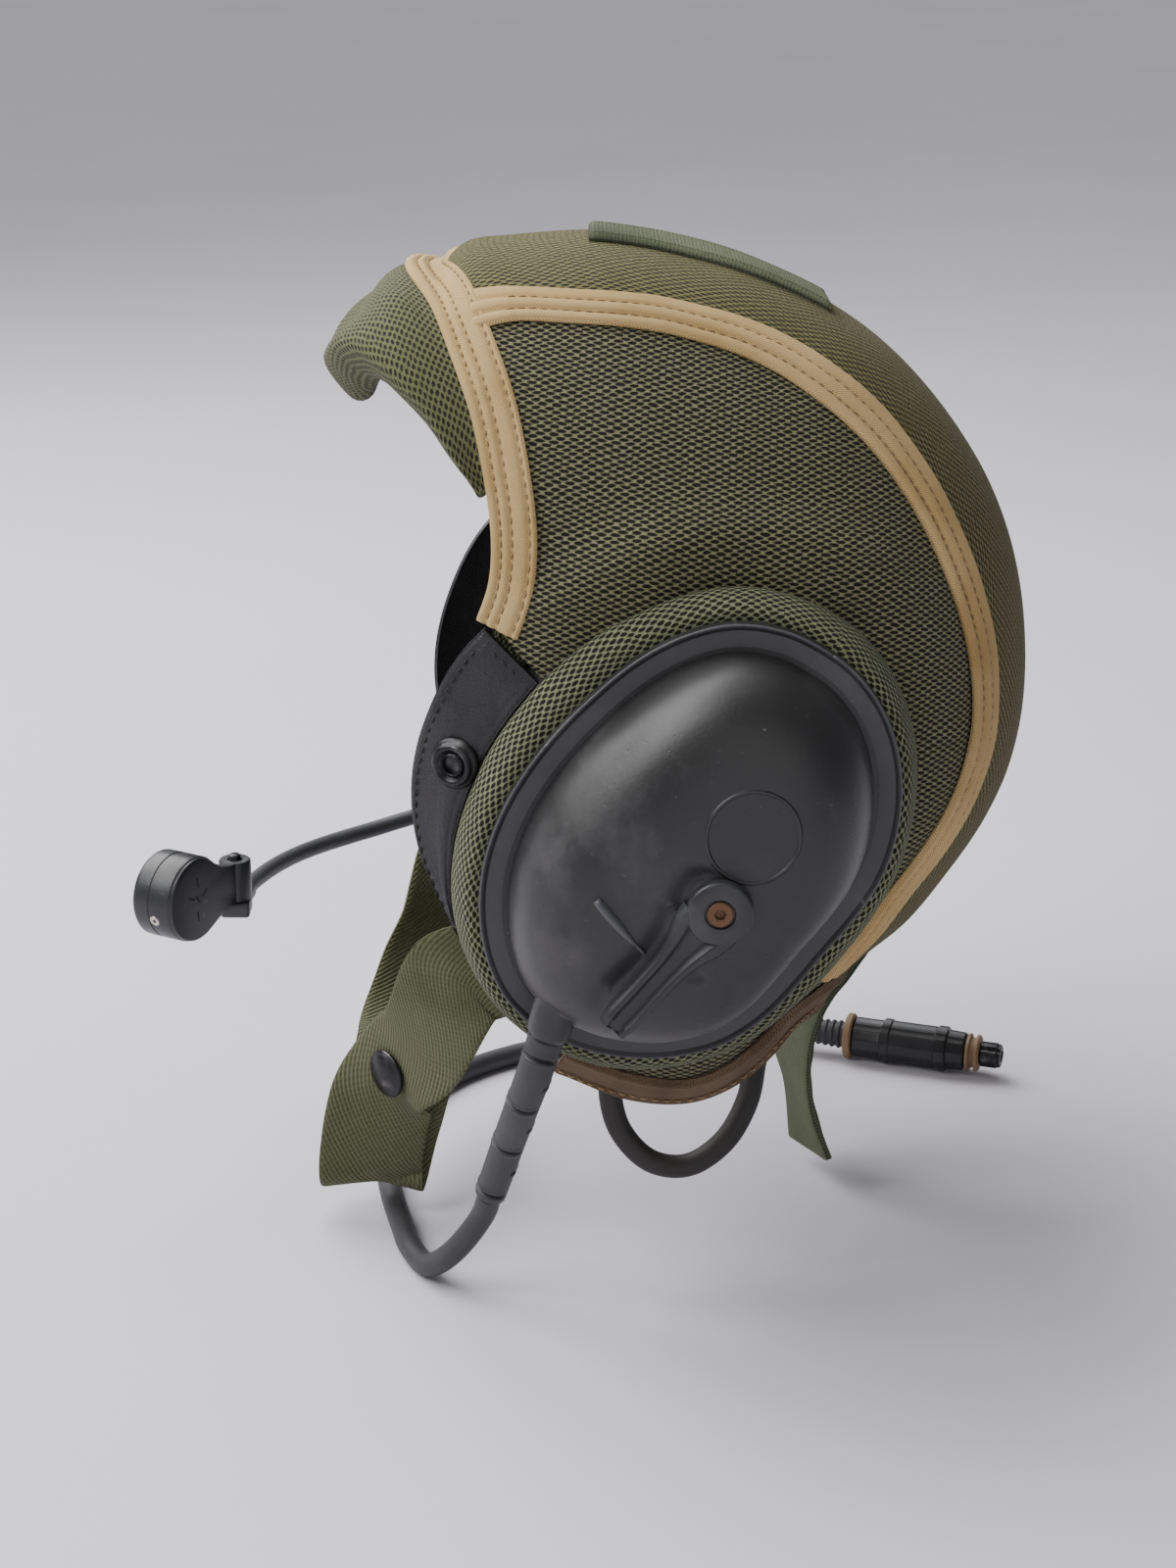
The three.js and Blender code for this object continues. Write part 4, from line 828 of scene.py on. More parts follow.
# Profiles of the plug's pieces: radius and distance along the plug
sleeve_ribs = [(mix(4.4, 5.0, k / 24) - 0.6 * (k % 4 in (2, 3)), k / 24 * 14.6 + 0.1) for k in range(25)]
SLEEVE = [(3.5, 0), (4.4, 0.1), *sleeve_ribs, (4.2, 14.7)]
BAND = [(7.2, 0), (7.9, 0.5), (7.9, 2.2), (7.2, 2.7)]
BARREL = [
    (6.2, 0), (6.9, 0.5), (6.9, 9.5), (7.0, 10), (7.8, 10.4), (7.8, 13), (7.3, 13.5), (7.3, 29),
    (7.8, 29.5), (7.8, 33), (6.8, 33.6), (6.6, 39), (6.0, 39.7),
]
COLLAR = [(5.6, 0), (6.5, 0.3), (6.5, 1.2), (5.2, 1.5), (5.2, 3.0), (6.4, 3.3), (6.4, 4.2), (5.6, 4.7)]
TIP = [(4.0, 0), (4.5, 0.3), (4.5, 5.6), (4.1, 6.0), (4.1, 6.9), (3.4, 7.2), (2.2, 7.2), (2.0, 5.0)]

relief = strain_relief()
for name, node, slot, start, profile, look, shape in (
    ("plug_sleeve", "plug_relief", "rubber", 0, SLEEVE, RUBBER, None),
    ("plug_band_ring", "plug_ring", "plug_band", 15, BAND, PLUG_TAN, None),
    ("plug_barrel", "plug_body", "shell_plastic", 18, BARREL, MIC_PLASTIC, ribbed),
    ("plug_flange", "plug_collar", "shell_plastic", 58, COLLAR, PLUG_TAN, None),
    ("plug_contact", "plug_tip", "dark_metal", 63, TIP, DARK_METAL, fluted),
):
    place = PLUG_START + PLUG_WAY * start
    made = lathe(name, place, PLUG_WAY, profile, look, sides=40, shape=shape, sharp=35)
    trim(made, node)

# Padded panels of the cap


def front_angle(lean):
    return along(FRONT_LINE[:5], 1, 0, np.abs(lean))


def hem_angle(lean):
    return along(HEM_LINE[:4], 1, 0, np.abs(lean))


def soft_piece(made, node):
    trim(made, node)


def crown_panel():
    """Long padded panel from the front seam over the top to the nape, its edges rolled under."""
    share, v = np.meshgrid(np.linspace(0, 1, 170), np.linspace(-1, 1, 71), indexing="ij")
    edge_gap = 0.35
    edge = mix(front_angle(SIDE_LINE[0, 1]), hem_angle(SIDE_LINE[-1, 1]), share)
    front, back = front_angle(v * SIDE_LINE[0, 1]), hem_angle(v * SIDE_LINE[-1, 1])
    angle = mix(front + edge_gap, back - edge_gap, share)
    lean = v * (along(SIDE_LINE, 0, 1, edge) - edge_gap)
    flat = cloth_uv(cap_point(angle, lean))
    across, long = flat[..., 0], flat[..., 1]
    from_side = np.minimum(across[:, -1:] - across, across - across[:, :1])
    from_end = np.minimum(long, long.max() - long)
    lift = -1.5 * bump(from_side, 4) - 1.2 * bump(from_end, 3.5)
    lift = lift + 1.6 * bump(long - 11, 7) * bump(across, 30)
    lift = lift + 0.35 * ripple(across / 17, long / 26, 3)
    outer, inner = cap_point(angle, lean, lift), cap_point(angle, lean, -CROWN_WALL)
    soft_piece(padded_sheet("crown_padding", outer, inner, flat, CROWN_MESH, bulge=0.1), "crown_panel")


def ear_arc(angle, lean):
    """Length over the cap from the ear's pole to each place, along its own angle."""
    steps = np.linspace(0, 1, 14)
    leans = 90 + (np.asarray(lean)[..., None] - 90) * steps
    points = cap_skin(np.asarray(angle)[..., None], np.clip(leans, 0.01, 89.9))
    return np.linalg.norm(np.diff(points, axis=-2), axis=-1).sum(-1)


def side_edge():
    """The panel's seam: up the front binding, back along the side binding and under the ear."""
    front = seam(both_sides(FRONT_LINE))
    side, hem = seam(SIDE_LINE), seam(HEM_LINE)
    near = np.argmin(np.linalg.norm(front - side[0], axis=1))
    first = lengths(front)[near] / lengths(front)[-1]
    corner = np.argmin(np.linalg.norm(hem - side[-1], axis=1))
    last = lengths(hem)[corner] / lengths(hem)[-1]
    return np.vstack([
        at_shares(front, np.linspace(FRONT_END, first, 46))[:-1],
        at_shares(side, np.linspace(0, 1, 120)),
        at_shares(hem, np.linspace(last, 1, 42))[1:],
    ])


# The side panels run this far under the rounded rim of the surrounds
PANEL_UNDER = 1.4


def side_panel(right):
    """Panel round an ear cup, puffed and folded behind the cup."""
    edge = side_edge()
    turn = turn_of(edge[:, 1], edge[:, 2])
    cup_y, cup_z = around_cup(turn, surround_edge(turn) - PANEL_UNDER)
    width = np.hypot(cup_y - edge[:, 1], cup_z - edge[:, 2])[:, None]
    share = mix(SEAM_GAP / width, 1.0, np.linspace(0, 1, 46)[None])
    y = mix(edge[:, 1, None], cup_y[:, None], share)
    z = mix(edge[:, 2, None], cup_z[:, None], share)
    angle, lean = cap_over(y, z)
    arc = ear_arc(angle, lean)
    flat = np.stack([arc * np.cos(np.radians(angle)), arc * np.sin(np.radians(angle))], -1)
    from_seam, from_cup = share * width, (1 - share) * width
    behind = (step(-35, 5, turn) * (1 - step(52, 80, turn)))[:, None]
    folds = np.sin(np.radians(turn)[:, None] * 9 + from_cup / 16)
    lift = -1.2 * bump(from_seam, 4.5) - 0.5 * bump(from_cup, 4)
    lift = lift + behind * (3.0 * bump(from_cup - 15, 8) - bump(from_cup, 4.5))
    lift = lift + 0.8 * behind * folds * bump(from_cup, 24)
    lift = lift + 0.3 * ripple(flat[..., 0] / 15, flat[..., 1] / 19, 5)
    lift = lift * np.minimum(1, from_seam / 3 + 0.35)
    outer, inner = cap_point(angle, lean, lift), cap_point(angle, lean, -SIDE_WALL)
    name = "side_padding_" + name_of(right)
    made = padded_sheet(name, outer, inner, flat, MESH, bulge=0.1, right=right)
    soft_piece(made, "side_panel_" + name_of(right))


def brow_panel():
    """Thick roll over the forehead, turned in at its lower edge."""
    lean = np.linspace(-BROW_LINE[-1, 1], BROW_LINE[-1, 1], 110)
    low, top = along(BROW_LINE, 1, 0, np.abs(lean)), front_angle(lean) - 0.25
    pad = BROW_PAD * along(BROW_LINE, 1, 2, np.abs(lean))
    length = np.linalg.norm(cap_point(low, lean) - cap_point(top, lean), axis=-1)
    free = 1 - np.minimum((BINDING / 2 + 1) / length, 0.85)
    rows = [
        (1, -0.3), (free, -0.1), (0.8 * free, 0.2 * pad), (0.58 * free, 0.5 * pad),
        (0.36 * free, 0.95 * pad), (0.28 * free, pad), (0.12 * free, 0.7 * pad), (0, 0.15 * pad),
        (0.05, -0.5 * SIDE_WALL), (0.4, -SIDE_WALL), (1, -SIDE_WALL),
    ]
    section = np.stack([cap_point(mix(low, top, s), lean, lift + 0 * lean) for s, lift in rows], 1)
    rings = np.stack([at_shares(smooth_line(ring, 10), np.linspace(0, 1, 56)) for ring in section])
    around = np.stack([lengths(ring) for ring in rings])
    across = lengths(rings[:, 14])
    out = unit(rings - rings.mean(1, keepdims=True))
    tuck = bump(around - around.max(1, keepdims=True) * 0.5, 7)
    rings = rings + out * (0.45 * tuck * ripple(across[:, None] / 4.2, around / 11, 8))[..., None]
    rings = rings + out * (0.35 * ripple(across[:, None] / 14, around / 9, 11))[..., None]
    uv = np.stack([np.broadcast_to((across - across.mean())[:, None], around.shape), around], -1)
    uv = np.concatenate([uv, uv[:, -1:] + [0, 3]], 1)
    soft_piece(loft("brow_padding", rings, BROW_MESH, uv=uv), "brow_panel")


def cup_ring(turn, x, outside, share=1.0):
    """Points round a cup at a height x, drawn in to a share of their way from its middle."""
    y, z = around_cup(turn, outside)
    return np.stack([x + 0 * y, mix(EAR_BACK, y, share), mix(EAR_Z, z, share)], -1)


def ear_surround(right):
    """Padded roll of mesh that holds a cup."""
    turn = np.linspace(0, 360, 150, endpoint=False)
    width = surround_edge(turn)
    angle, lean = cap_over(*around_cup(turn, width - SEAM_GAP))
    skin, low = cap_point(angle, lean), cap_point(angle, lean, -SIDE_WALL)
    foot, top = skin[:, 0], FLANGE_BACK - FIT_GAP
    slope = ((0.9, 0.36), (0.62, 0.78), (0.3, 1))
    section = [
        skin, *(cup_ring(turn, mix(foot, top, rise), out * width) for out, rise in slope),
        cup_ring(turn, top, -0.5), cup_ring(turn, top, -TUCK), cup_ring(turn, top - SURROUND_THICK, -TUCK),
        cup_ring(turn, mix(foot, top, 0.45) - SIDE_WALL, 0.1 * width), low,
    ]
    rings = [at_shares(smooth_line(ring, 8), np.linspace(0, 1, 34)) for ring in np.stack(section, 1)]
    rings = np.stack(rings)
    around = np.stack([lengths(ring) for ring in rings])
    outline = lengths(np.vstack([rings[:, 6], rings[:1, 6]]))
    lumps = bump(around - 7, 6) * ripple(outline[:-1, None] / 5.5, around / 9, 21)
    rings[..., 0] += 0.3 * lumps
    uv = np.stack(np.broadcast_arrays(outline[:, None], np.vstack([around, around[:1]])), -1)
    uv = np.concatenate([uv, uv[:, -1:] + [0, 3]], 1)
    made = loft("cup_surround_" + name_of(right), rings, ROLL_MESH, loop=True, uv=uv, right=right)
    soft_piece(made, "ear_surround_" + name_of(right))


def ear_seal(right):
    """Foam ring in leather, inside a cup."""
    turn = np.linspace(0, 360, 120, endpoint=False)
    top = FLANGE_BACK - FIT_GAP
    outer = -TUCK - 1
    waist = (1 - cup_share(turn)) * CUP_WIDTH
    # Share across the ring and share of its depth
    rows = [
        (0, 0), (0.5, -0.01), (1, 0), (0.99, 0.45), (0.85, 0.85), (0.55, 1.0), (0.25, 0.88), (0.03, 0.45),
        (0, 0),
    ]
    section = [
        cup_ring(turn, top - depth * SEAL_DEPTH, mix(outer, outer - SEAL_WIDTH, share) + share * waist)
        for share, depth in rows
    ]
    rings = [at_shares(smooth_line(ring, 8), np.linspace(0, 1, 33))[:-1] for ring in np.stack(section, 1)]
    rings = np.stack(rings)
    pucker = ripple(turn / 4.0, turn * 0, 31)[:, None] * np.abs(np.sin(np.linspace(0, math.pi, 32)))
    rings[..., 0] -= 0.25 * pucker
    made = loft("cup_seal_" + name_of(right), rings, LEATHER, loop=True, right=right)
    soft_piece(made, "ear_seal_" + name_of(right))


crown_panel()
brow_panel()
for right in (False, True):
    side_panel(right)
    ear_surround(right)
    ear_seal(right)

# Bindings, hem and patch

# Sections of the strips: share across and height over the skin
FRONT_PROFILE = np.array([
    (0, 0.1), (0.015, 0.9), (0.08, 1.5), (0.17, 1.5), (0.235, 0.85), (0.26, 0.8), (0.32, 1.45), (0.41, 1.45),
    (0.475, 0.8), (0.5, 0.8), (0.56, 1.35), (0.76, 1.5), (0.85, 0.85), (0.87, 0.8), (0.92, 1.35),
    (0.975, 1.1), (1, 0.1),
])
SIDE_PROFILE = np.array([
    (0, 0.1), (0.015, 0.9), (0.07, 1.6), (0.2, 1.6), (0.27, 0.8), (0.3, 0.75), (0.37, 1.6), (0.54, 1.65),
    (0.61, 0.9), (0.64, 0.8), (0.7, 1.15), (0.85, 1.1), (0.975, 0.8), (1, 0.1),
])
HEM_PROFILE = np.array([
    (0, 0.1), (0.02, 1.3), (0.1, 2.2), (0.2, 1.5), (0.3, 1.1), (0.6, 1.2), (0.8, 1.0), (0.86, 1.6),
    (0.95, 1.9), (1, 0.2),
])
PATCH_PROFILE = np.array([
    (0, 0.3), (0.02, 1.7), (0.06, 2.3), (0.1, 1.9), (0.9, 1.9), (0.94, 2.3), (0.98, 1.7), (1, 0.3),
])


def strip_at(line, run, offset, height):
    """Points over the cap, at lengths along a line, offsets across it and heights over the skin."""
    way = lengths(line)
    spot, ahead, behind = (at_lengths(line, run + off, way) for off in (0, 0.5, -0.5))
    angle, lean = cap_place(spot)
    out = cap_point(angle, lean, 1 + 0 * lean) - cap_point(angle, lean, 0 * lean)
    side = unit(np.cross(out, ahead - behind))
    angle, lean = cap_place(spot + side * np.asarray(offset)[..., None])
    return cap_point(angle, lean, height + 0 * lean)


def width_at(width, share):
    """Width of a strip at shares of its length, from one number or a table."""
    return along(width, 0, 1, share) if isinstance(width, np.ndarray) else width + 0 * share


def strip(name, line, width, profile, look, ends, lift=0.3, right=False, wave=0.12, seed=1, steps=150):
    """A strip of cloth along a line on the cap, with its own section. Width is one number or a table."""
    share = np.linspace(*ends, steps)
    run, s = np.meshgrid(share * lengths(line)[-1], np.linspace(0, 1, 30), indexing="ij")
    offset = (s - 0.5) * width_at(width, share)[:, None]
    height = lift + along(profile, 0, 1, s) + wave * ripple(run / 6, s * 3, seed)
    from_end = np.minimum(run - run.min(), run.max() - run)
    height = height * (0.55 + 0.45 * step(0, 1.2, from_end))
    outer, inner = (strip_at(line, run, offset, h) for h in (height, 0 * s + 0.05))
    return padded_sheet(name, outer, inner, np.stack([offset, run], -1), look, right=right)


def stitches(name, rows, right=False, look=THREAD, pitch=3.1):
    """Threads sewn in rows. Each row gives a function from lengths along to points and its total length."""
    long, thick, bow_height, sink = 2.2, 0.32, 0.42, 0.08
    sides, rings = 5, 5
    cos, sin = circle(sides)
    bow = np.sin(np.linspace(0, math.pi, rings))[:, None]
    radius = (thick * (0.35 + 0.65 * bow))[..., None]
    points, faces = [], []
    for place, total in rows:
        starts = np.arange(pitch, total - pitch, pitch)
        line, out = place(starts[:, None] + np.linspace(0, long, rings)[None])
        side = np.cross(unit(np.gradient(line, axis=1)), out)
        centre = line + out * (bow_height * bow - sink)
        for middle, one, two in zip(centre, side, out):
            base = len(points) * rings * sides
            turned_way = one[:, None] * cos[:, None] + two[:, None] * sin[:, None]
            points.append((middle[:, None] + radius * turned_way).reshape(-1, 3))
            faces += grid_faces(rings, sides, wrap=True, offset=base)
            faces.append(tuple(base + j for j in reversed(range(sides))))
            faces.append(tuple(base + (rings - 1) * sides + j for j in range(sides)))
    points = np.vstack(points)
    made = piece(name, points, faces, look, uvs=points[:, 1:], right=right)


def sewn_on_strip(line, width, start, end, offset, height):
    """A stitch row for stitches(): at an offset across a strip, as a share of its width."""
    total = lengths(line)[-1]

    def place(run):
        at = run + start * total
        across = (offset - 0.5) * width_at(width, at / total)
        low, high = (strip_at(line, at, across, height + up) for up in (0, 1))
        return low, unit(high - low)

    return place, (end - start) * total


front_line = seam(both_sides(FRONT_LINE))
side_seam = seam(SIDE_LINE)
hem_line = seam(both_sides(HEM_LINE))
SIDE_WIDTH = np.array([(0, 15), (0.06, 11.8), (0.2, 12.6), (0.35, 14.5), (0.5, 13.5), (0.8, 12), (1, 11)])
FRONT_ENDS = (1 - FRONT_END, FRONT_END)
PATCH_WIDTH = 24.0
patch_line = seam(np.array([(80, 0), (86, 0), (93, 0), (100, 0), (106.5, 0)]))
front_binding = strip("front_tape", front_line, BINDING, FRONT_PROFILE, TAN, FRONT_ENDS, steps=260)
trim(front_binding, "front_binding")
front_rows = [sewn_on_strip(front_line, BINDING, *FRONT_ENDS, s, 1.15) for s in (0.245, 0.49, 0.862)]
stitches("front_tape_thread", front_rows)
for right in (False, True):
    side = name_of(right)
    made = strip(
        "side_tape_" + side, side_seam, SIDE_WIDTH, SIDE_PROFILE, TAN, (0.008, 0.962),
        right=right, steps=220, seed=4,
    )
    trim(made, "side_binding_" + side)
    side_rows = [sewn_on_strip(side_seam, SIDE_WIDTH, 0.032, 0.962, s, 1.1) for s in (0.285, 0.625)]
    stitches("side_tape_thread_" + side, side_rows, right=right)
hem = strip("nape_tape", hem_line, HEM, HEM_PROFILE, SHADED_HEM_CLOTH, (0.0, 1.0), wave=0.5, seed=9, steps=240)
trim(hem, "nape_hem")
stitches("nape_tape_thread", [sewn_on_strip(hem_line, HEM, 0.0, 1.0, 0.82, 1.5)])
patch = strip(
    "crown_tape", patch_line, PATCH_WIDTH, PATCH_PROFILE, TAPE, (0.0, 1.0), wave=0.25, seed=12, steps=90,
)
trim(patch, "crown_patch")

# Ear cups

# Outer side of a cup: reach from the middle and rise, as shares of the dome
DOME_ROWS = np.array([
    (0.0, 1.0), (0.25, 0.99), (0.45, 0.955), (0.62, 0.895), (0.76, 0.79), (0.865, 0.645), (0.94, 0.45),
    (0.985, 0.22), (1.0, 0.0),
])
HUB = (EAR_BACK + 6.9, EAR_Z - 2.8)


LEFT_ARM_ANGLE = 50
RIGHT_ARM_ANGLE = 75


def below(angle):
    """Direction in the plane of the cup, by the angle below straight forward, as y and z."""
    return np.array([-math.cos(math.radians(angle)), -math.sin(math.radians(angle))])


# Half the width of a swivel arm, by the run from its hub
ARM_HALF = np.array([(0, 9), (8, 8.4), (14, 6.3), (20, 5.1), (30, 4.75), (40, 4.9), (44, 4.2)])
HUB_RADIUS = 9
ARM_REACH = 44.0


def dome_relief(y, z):
    """Height added to the dome's skin: the hollow beside the arm, a slot and a small bead."""
    arm, across = below(LEFT_ARM_ANGLE), below(LEFT_ARM_ANGLE - 90)
    run = (y - HUB[0]) * arm[0] + (z - HUB[1]) * arm[1]
    off = (y - HUB[0]) * across[0] + (z - HUB[1]) * across[1]
    beside = off - along(ARM_HALF, 0, 1, np.clip(run, 0, ARM_REACH))
    outside = np.where(run < 8, np.hypot(run, off) - HUB_RADIUS, beside)
    side = step(-4, 3, off) * step(-9, -3, run) * (1 - step(40, 48, run))
    hollow = -1.6 * bump(outside - 1.2, np.where(outside < 1.2, 2.0, 4.5)) * side
    slot = -0.9 * np.exp(-(np.hypot((y - 2.4) / 1.6, z + 175.2) / 1.5) ** 4)
    bead = 0.5 * bump(np.hypot(y + 33.0, z + 165.0), 1.6)
    return hollow + slot + bead


def cup_shell(right):
    """Domed shell with a flange, open to the ear."""
    turn = np.linspace(0, 360, 200, endpoint=False)
    reach = 52
    profile = smooth_line(DOME_ROWS * [reach, DOME_RISE])
    profile = at_shares(profile, np.linspace(0.012, 1, 64)) / [reach, DOME_RISE]
    outer = [cup_ring(turn, DOME_BASE + rise * DOME_RISE, -FLANGE, share) for share, rise in profile]
    outer = np.stack(outer)
    high = step(0.3, 0.7, profile[:, 1])[:, None]
    outer[..., 0] += dome_relief(outer[..., 1], outer[..., 2]) * high
    # Flange, from the dome's foot over its raised edge to its back: height and distance outside the edge
    rim = [
        (DOME_BASE, -FLANGE + 1.4), (DOME_BASE, -2.1), (DOME_BASE + 0.1, -1.6), (DOME_BASE + 0.5, -1.2),
        (DOME_BASE + 0.5, -0.7), (DOME_BASE + 0.2, -0.2), (mix(FLANGE_BACK, DOME_BASE, 0.6), 0),
        (FLANGE_BACK + 0.3, 0), (FLANGE_BACK, -0.4), (FLANGE_BACK, -FLANGE - SHELL_WALL),
    ]
    # Inner side of the dome: share of its rise and share of its reach
    hollow = ((0.3, 0.91605), (0.62, 0.8649), (0.8, 0.7905), (0.93, 0.651), (0.985, 0.3906), (1, 0.05))
    inner = [
        cup_ring(turn, DOME_BASE + rise * DOME_RISE - SHELL_WALL, -FLANGE - SHELL_WALL, share)
        for rise, share in hollow
    ]
    rings = [*outer, *(cup_ring(turn, x, outside) for x, outside in rim), *inner]
    side = name_of(right)
    shell = loft("cup_shell_" + side, rings, PLASTIC, right=right, sharp=50)
    # Thin paler bead round the flange's edge: wear and a painted highlight
    edge = cup_ring(turn, DOME_BASE + 0.35, -0.55)
    rim_rings = tube_rings(np.vstack([edge, edge[:2]]), 0.42, 8)[:-1]
    worn = loft("rim_wear_and_painted_highlight", rim_rings, RIM_WEAR_AND_HIGHLIGHT, right=right)
    skin_rows = ((-0.3, -FLANGE + 1.3), (0.06, -FLANGE + 1.5), (0.06, -2.0), (-0.3, -1.9))
    skin = [cup_ring(turn, DOME_BASE + lift, outside) for lift, outside in skin_rows]
    dusty = loft("dusty_flange", skin, DUSTY_PLASTIC, right=right, sharp=20)
    parts = [shell, worn, dusty, stop_ridge(right)]
    if not right:
        parts += [lead_boss(), boss_wedge()]
    trim(join("cup_dome_" + side, *parts), "earcup_shell_" + side)


def stop_ridge(right):
    """Small crested ridge that the arm stops against."""
    first, last = np.array([-24.3, -153.4]), np.array([-11.3, -168.7])
    # Offset across the ridge and height over the dome
    section = ((-2.2, -3), (-1.1, 1.0), (-0.3, 1.9), (0.5, 1.7), (1.3, 0.8), (2.4, -3), (0, -4))
    way = unit(last - first)
    across = np.array([way[1], -way[0]])
    rings = []
    for s in np.linspace(0, 1, 22):
        size = 0.25 + 0.75 * math.sin(math.pi * min(s * 1.15 + 0.08, 1)) ** 0.5
        centre = mix(first, last, s)
        ring = []
        for off, high in section:
            y, z = centre + across * off * size
            ring.append((DOME_TOP - 1.2 + (high * size if high > 0 else high), y, z))
        rings.append(ring)
    # The ridge's paler plastic is a painted highlight on its crest
    return loft("ridge", rings, RIM_WEAR_AND_HIGHLIGHT, right=right)


def boss_wedge():
    """Pointed fairing over the place where the lead comes out."""
    outline = np.array([
        (-41.9, -178.7), (-37.0, -180.4), (-31.5, -182.9), (-26.8, -185.0), (-22.9, -188.3), (-25.6, -192.0),
        (-33.5, -192.6), (-37.6, -188.0), (-40.4, -182.9),
    ])
    outline = at_shares(smooth_line(np.vstack([outline, outline[:1]]), 6), np.linspace(0, 1, 49))[:-1]
    rings = []
    for sink, inset in ((0.0, 0.09), (0.25, 0.03), (0.9, 0.0), (10.0, -0.05)):
        shrunk = mix(outline, outline.mean(0), inset)
        top = 105.2 + 2.4 * step(-44, -26, shrunk[:, 0])
        rings.append(np.stack([top - sink, shrunk[:, 0], shrunk[:, 1]], -1))
    return loft("wedge", rings, PLASTIC, sharp=35)


def lead_boss():
    """Tapered spout that the lead leaves through."""
    run = np.linspace(0, 1, 16)
    line = BOSS_TOP - LEAD_WAY * 9 + np.outer(run, LEAD_WAY * 24)
    radius = np.interp(run, (0, 0.3, 0.75, 0.93, 1), (2.5, 6.2, 6.4, 6.1, 5.4))
    return loft("boss", tube_rings(line, radius[:, None], 36), PLASTIC)


for right in (False, True):
    cup_shell(right)

# Swivel arms, screws, boom and microphone

ARM_BASE = DOME_TOP + 0.5
ARM_HEIGHT = 3.8
# Profiles over the cup, as radius and height, of the hub and of the screw in it
HUB_ROWS = [
    (2.5, 0.2), (8.4, 0), (9, 0.5), (9, 2.9), (8.8, 3.4), (8.2, 3.8), (5.0, 3.8), (4.2, 3.5), (4.0, 2.6),
    (2.5, 2.6), (2.5, 0.2),
]
SCREW_TOP = ARM_HEIGHT - 0.2
SCREW_ROWS = [
    (2.1, -0.2), (2.1, 2.6), (3.1, 2.7), (3.55, 3.0), (3.55, SCREW_TOP - 0.3), (3.2, SCREW_TOP),
    (1.75, SCREW_TOP), (1.6, SCREW_TOP - 0.2), (1.6, 2.4),
]
SOCKET_ROW = 6
# Section of the bar: share of its half width and share of its height
BAR_ROWS = [
    (-1, -0.3), (-1, 0.5), (-0.8, 0.97), (-0.62, 1), (-0.5, 0.9), (-0.42, 0.55), (-0.2, 0.48), (0.2, 0.48),
    (0.42, 0.55), (0.5, 0.9), (0.62, 1), (0.8, 0.97), (1, 0.5), (1, -0.3), (0.5, -0.31), (-0.5, -0.31),
]


def swivel_arm(right):
    """Hub disc with a sunk seat, and a bar with two ridges that narrows to its end."""
    way = below(RIGHT_ARM_ANGLE if right else LEFT_ARM_ANGLE)
    across = np.array([-way[1], way[0]])
    kind = {"right": right, "body": "boom_arm" if right else "left_arm"}
    hub = lathe(
        "hub", (ARM_BASE, *HUB), (1, 0, 0), HUB_ROWS, ARM_PLASTIC,
        sides=72, ends=(False, False), sharp=45, **kind,
    )
    rings = []
    for s in np.linspace(0, 1, 50):
        run = mix(4.0, ARM_REACH, s)
        half = along(ARM_HALF, 0, 1, run)
        tall = ARM_HEIGHT * (0.92 + 0.08 * math.cos(s * 5)) * (1 - 0.18 * step(0.93, 1.0, s))
        spot = np.array(HUB) + way * run
        rings.append([(ARM_BASE + h * tall, *(spot + across * a * half)) for a, h in BAR_ROWS])
    bar = loft("bar", rings, ARM_PLASTIC, sharp=60, **kind)
    side = name_of(right)
    trim(join("arm_" + side, hub, bar), "swivel_arm_" + side)


def pivot_screw(right):
    """Screw with a six-sided socket in its head."""

    def socket(k, radius, turn):
        if k < SOCKET_ROW:
            return np.full(len(turn), radius)
        return radius * math.cos(math.pi / 6) / np.cos((turn % (math.pi / 3)) - math.pi / 6)

    place = (ARM_BASE, *HUB)
    name = "screw_" + name_of(right)
    made = lathe(name, place, (1, 0, 0), SCREW_ROWS, RUST, shape=socket, right=right, sharp=40)
    trim(made, "pivot_screw_" + name_of(right))


for right in (False, True):
    swivel_arm(right)
    pivot_screw(right)

UP = np.array([0.0, 0.0, 1.0])
MIC_POST = np.array([-16.0, EAR_BACK - 139.3, EAR_Z - 55])
MIC_AXIS = np.array([0.5, 0.866, 0.0])
MIC_AWAY = np.array([0.866, -0.5, 0.0])
KNUCKLE_Z = MIC_POST[2] + 2.5 + FIT_GAP + 6.5


def rounded_box(name, centre, size, axes, edge, look, body):
    """A box with rounded edges, on its own axes."""
    shape = bmesh.new()
    bmesh.ops.create_cube(shape, size=1.0)
    bmesh.ops.scale(shape, vec=size, verts=shape.verts)
    bmesh.ops.bevel(shape, geom=shape.edges[:], offset=edge, segments=3, affect="EDGES", profile=0.5)
    points = np.array([v.co for v in shape.verts]) @ np.asarray(axes, float) + np.asarray(centre)
    faces = [tuple(v.index for v in f.verts) for f in shape.faces]
    shape.free()
    faces = faces if outward(points, faces) else turned(faces)
    return piece(name, points, faces, look, uvs=points[:, 1:], sharp=40, body=body)


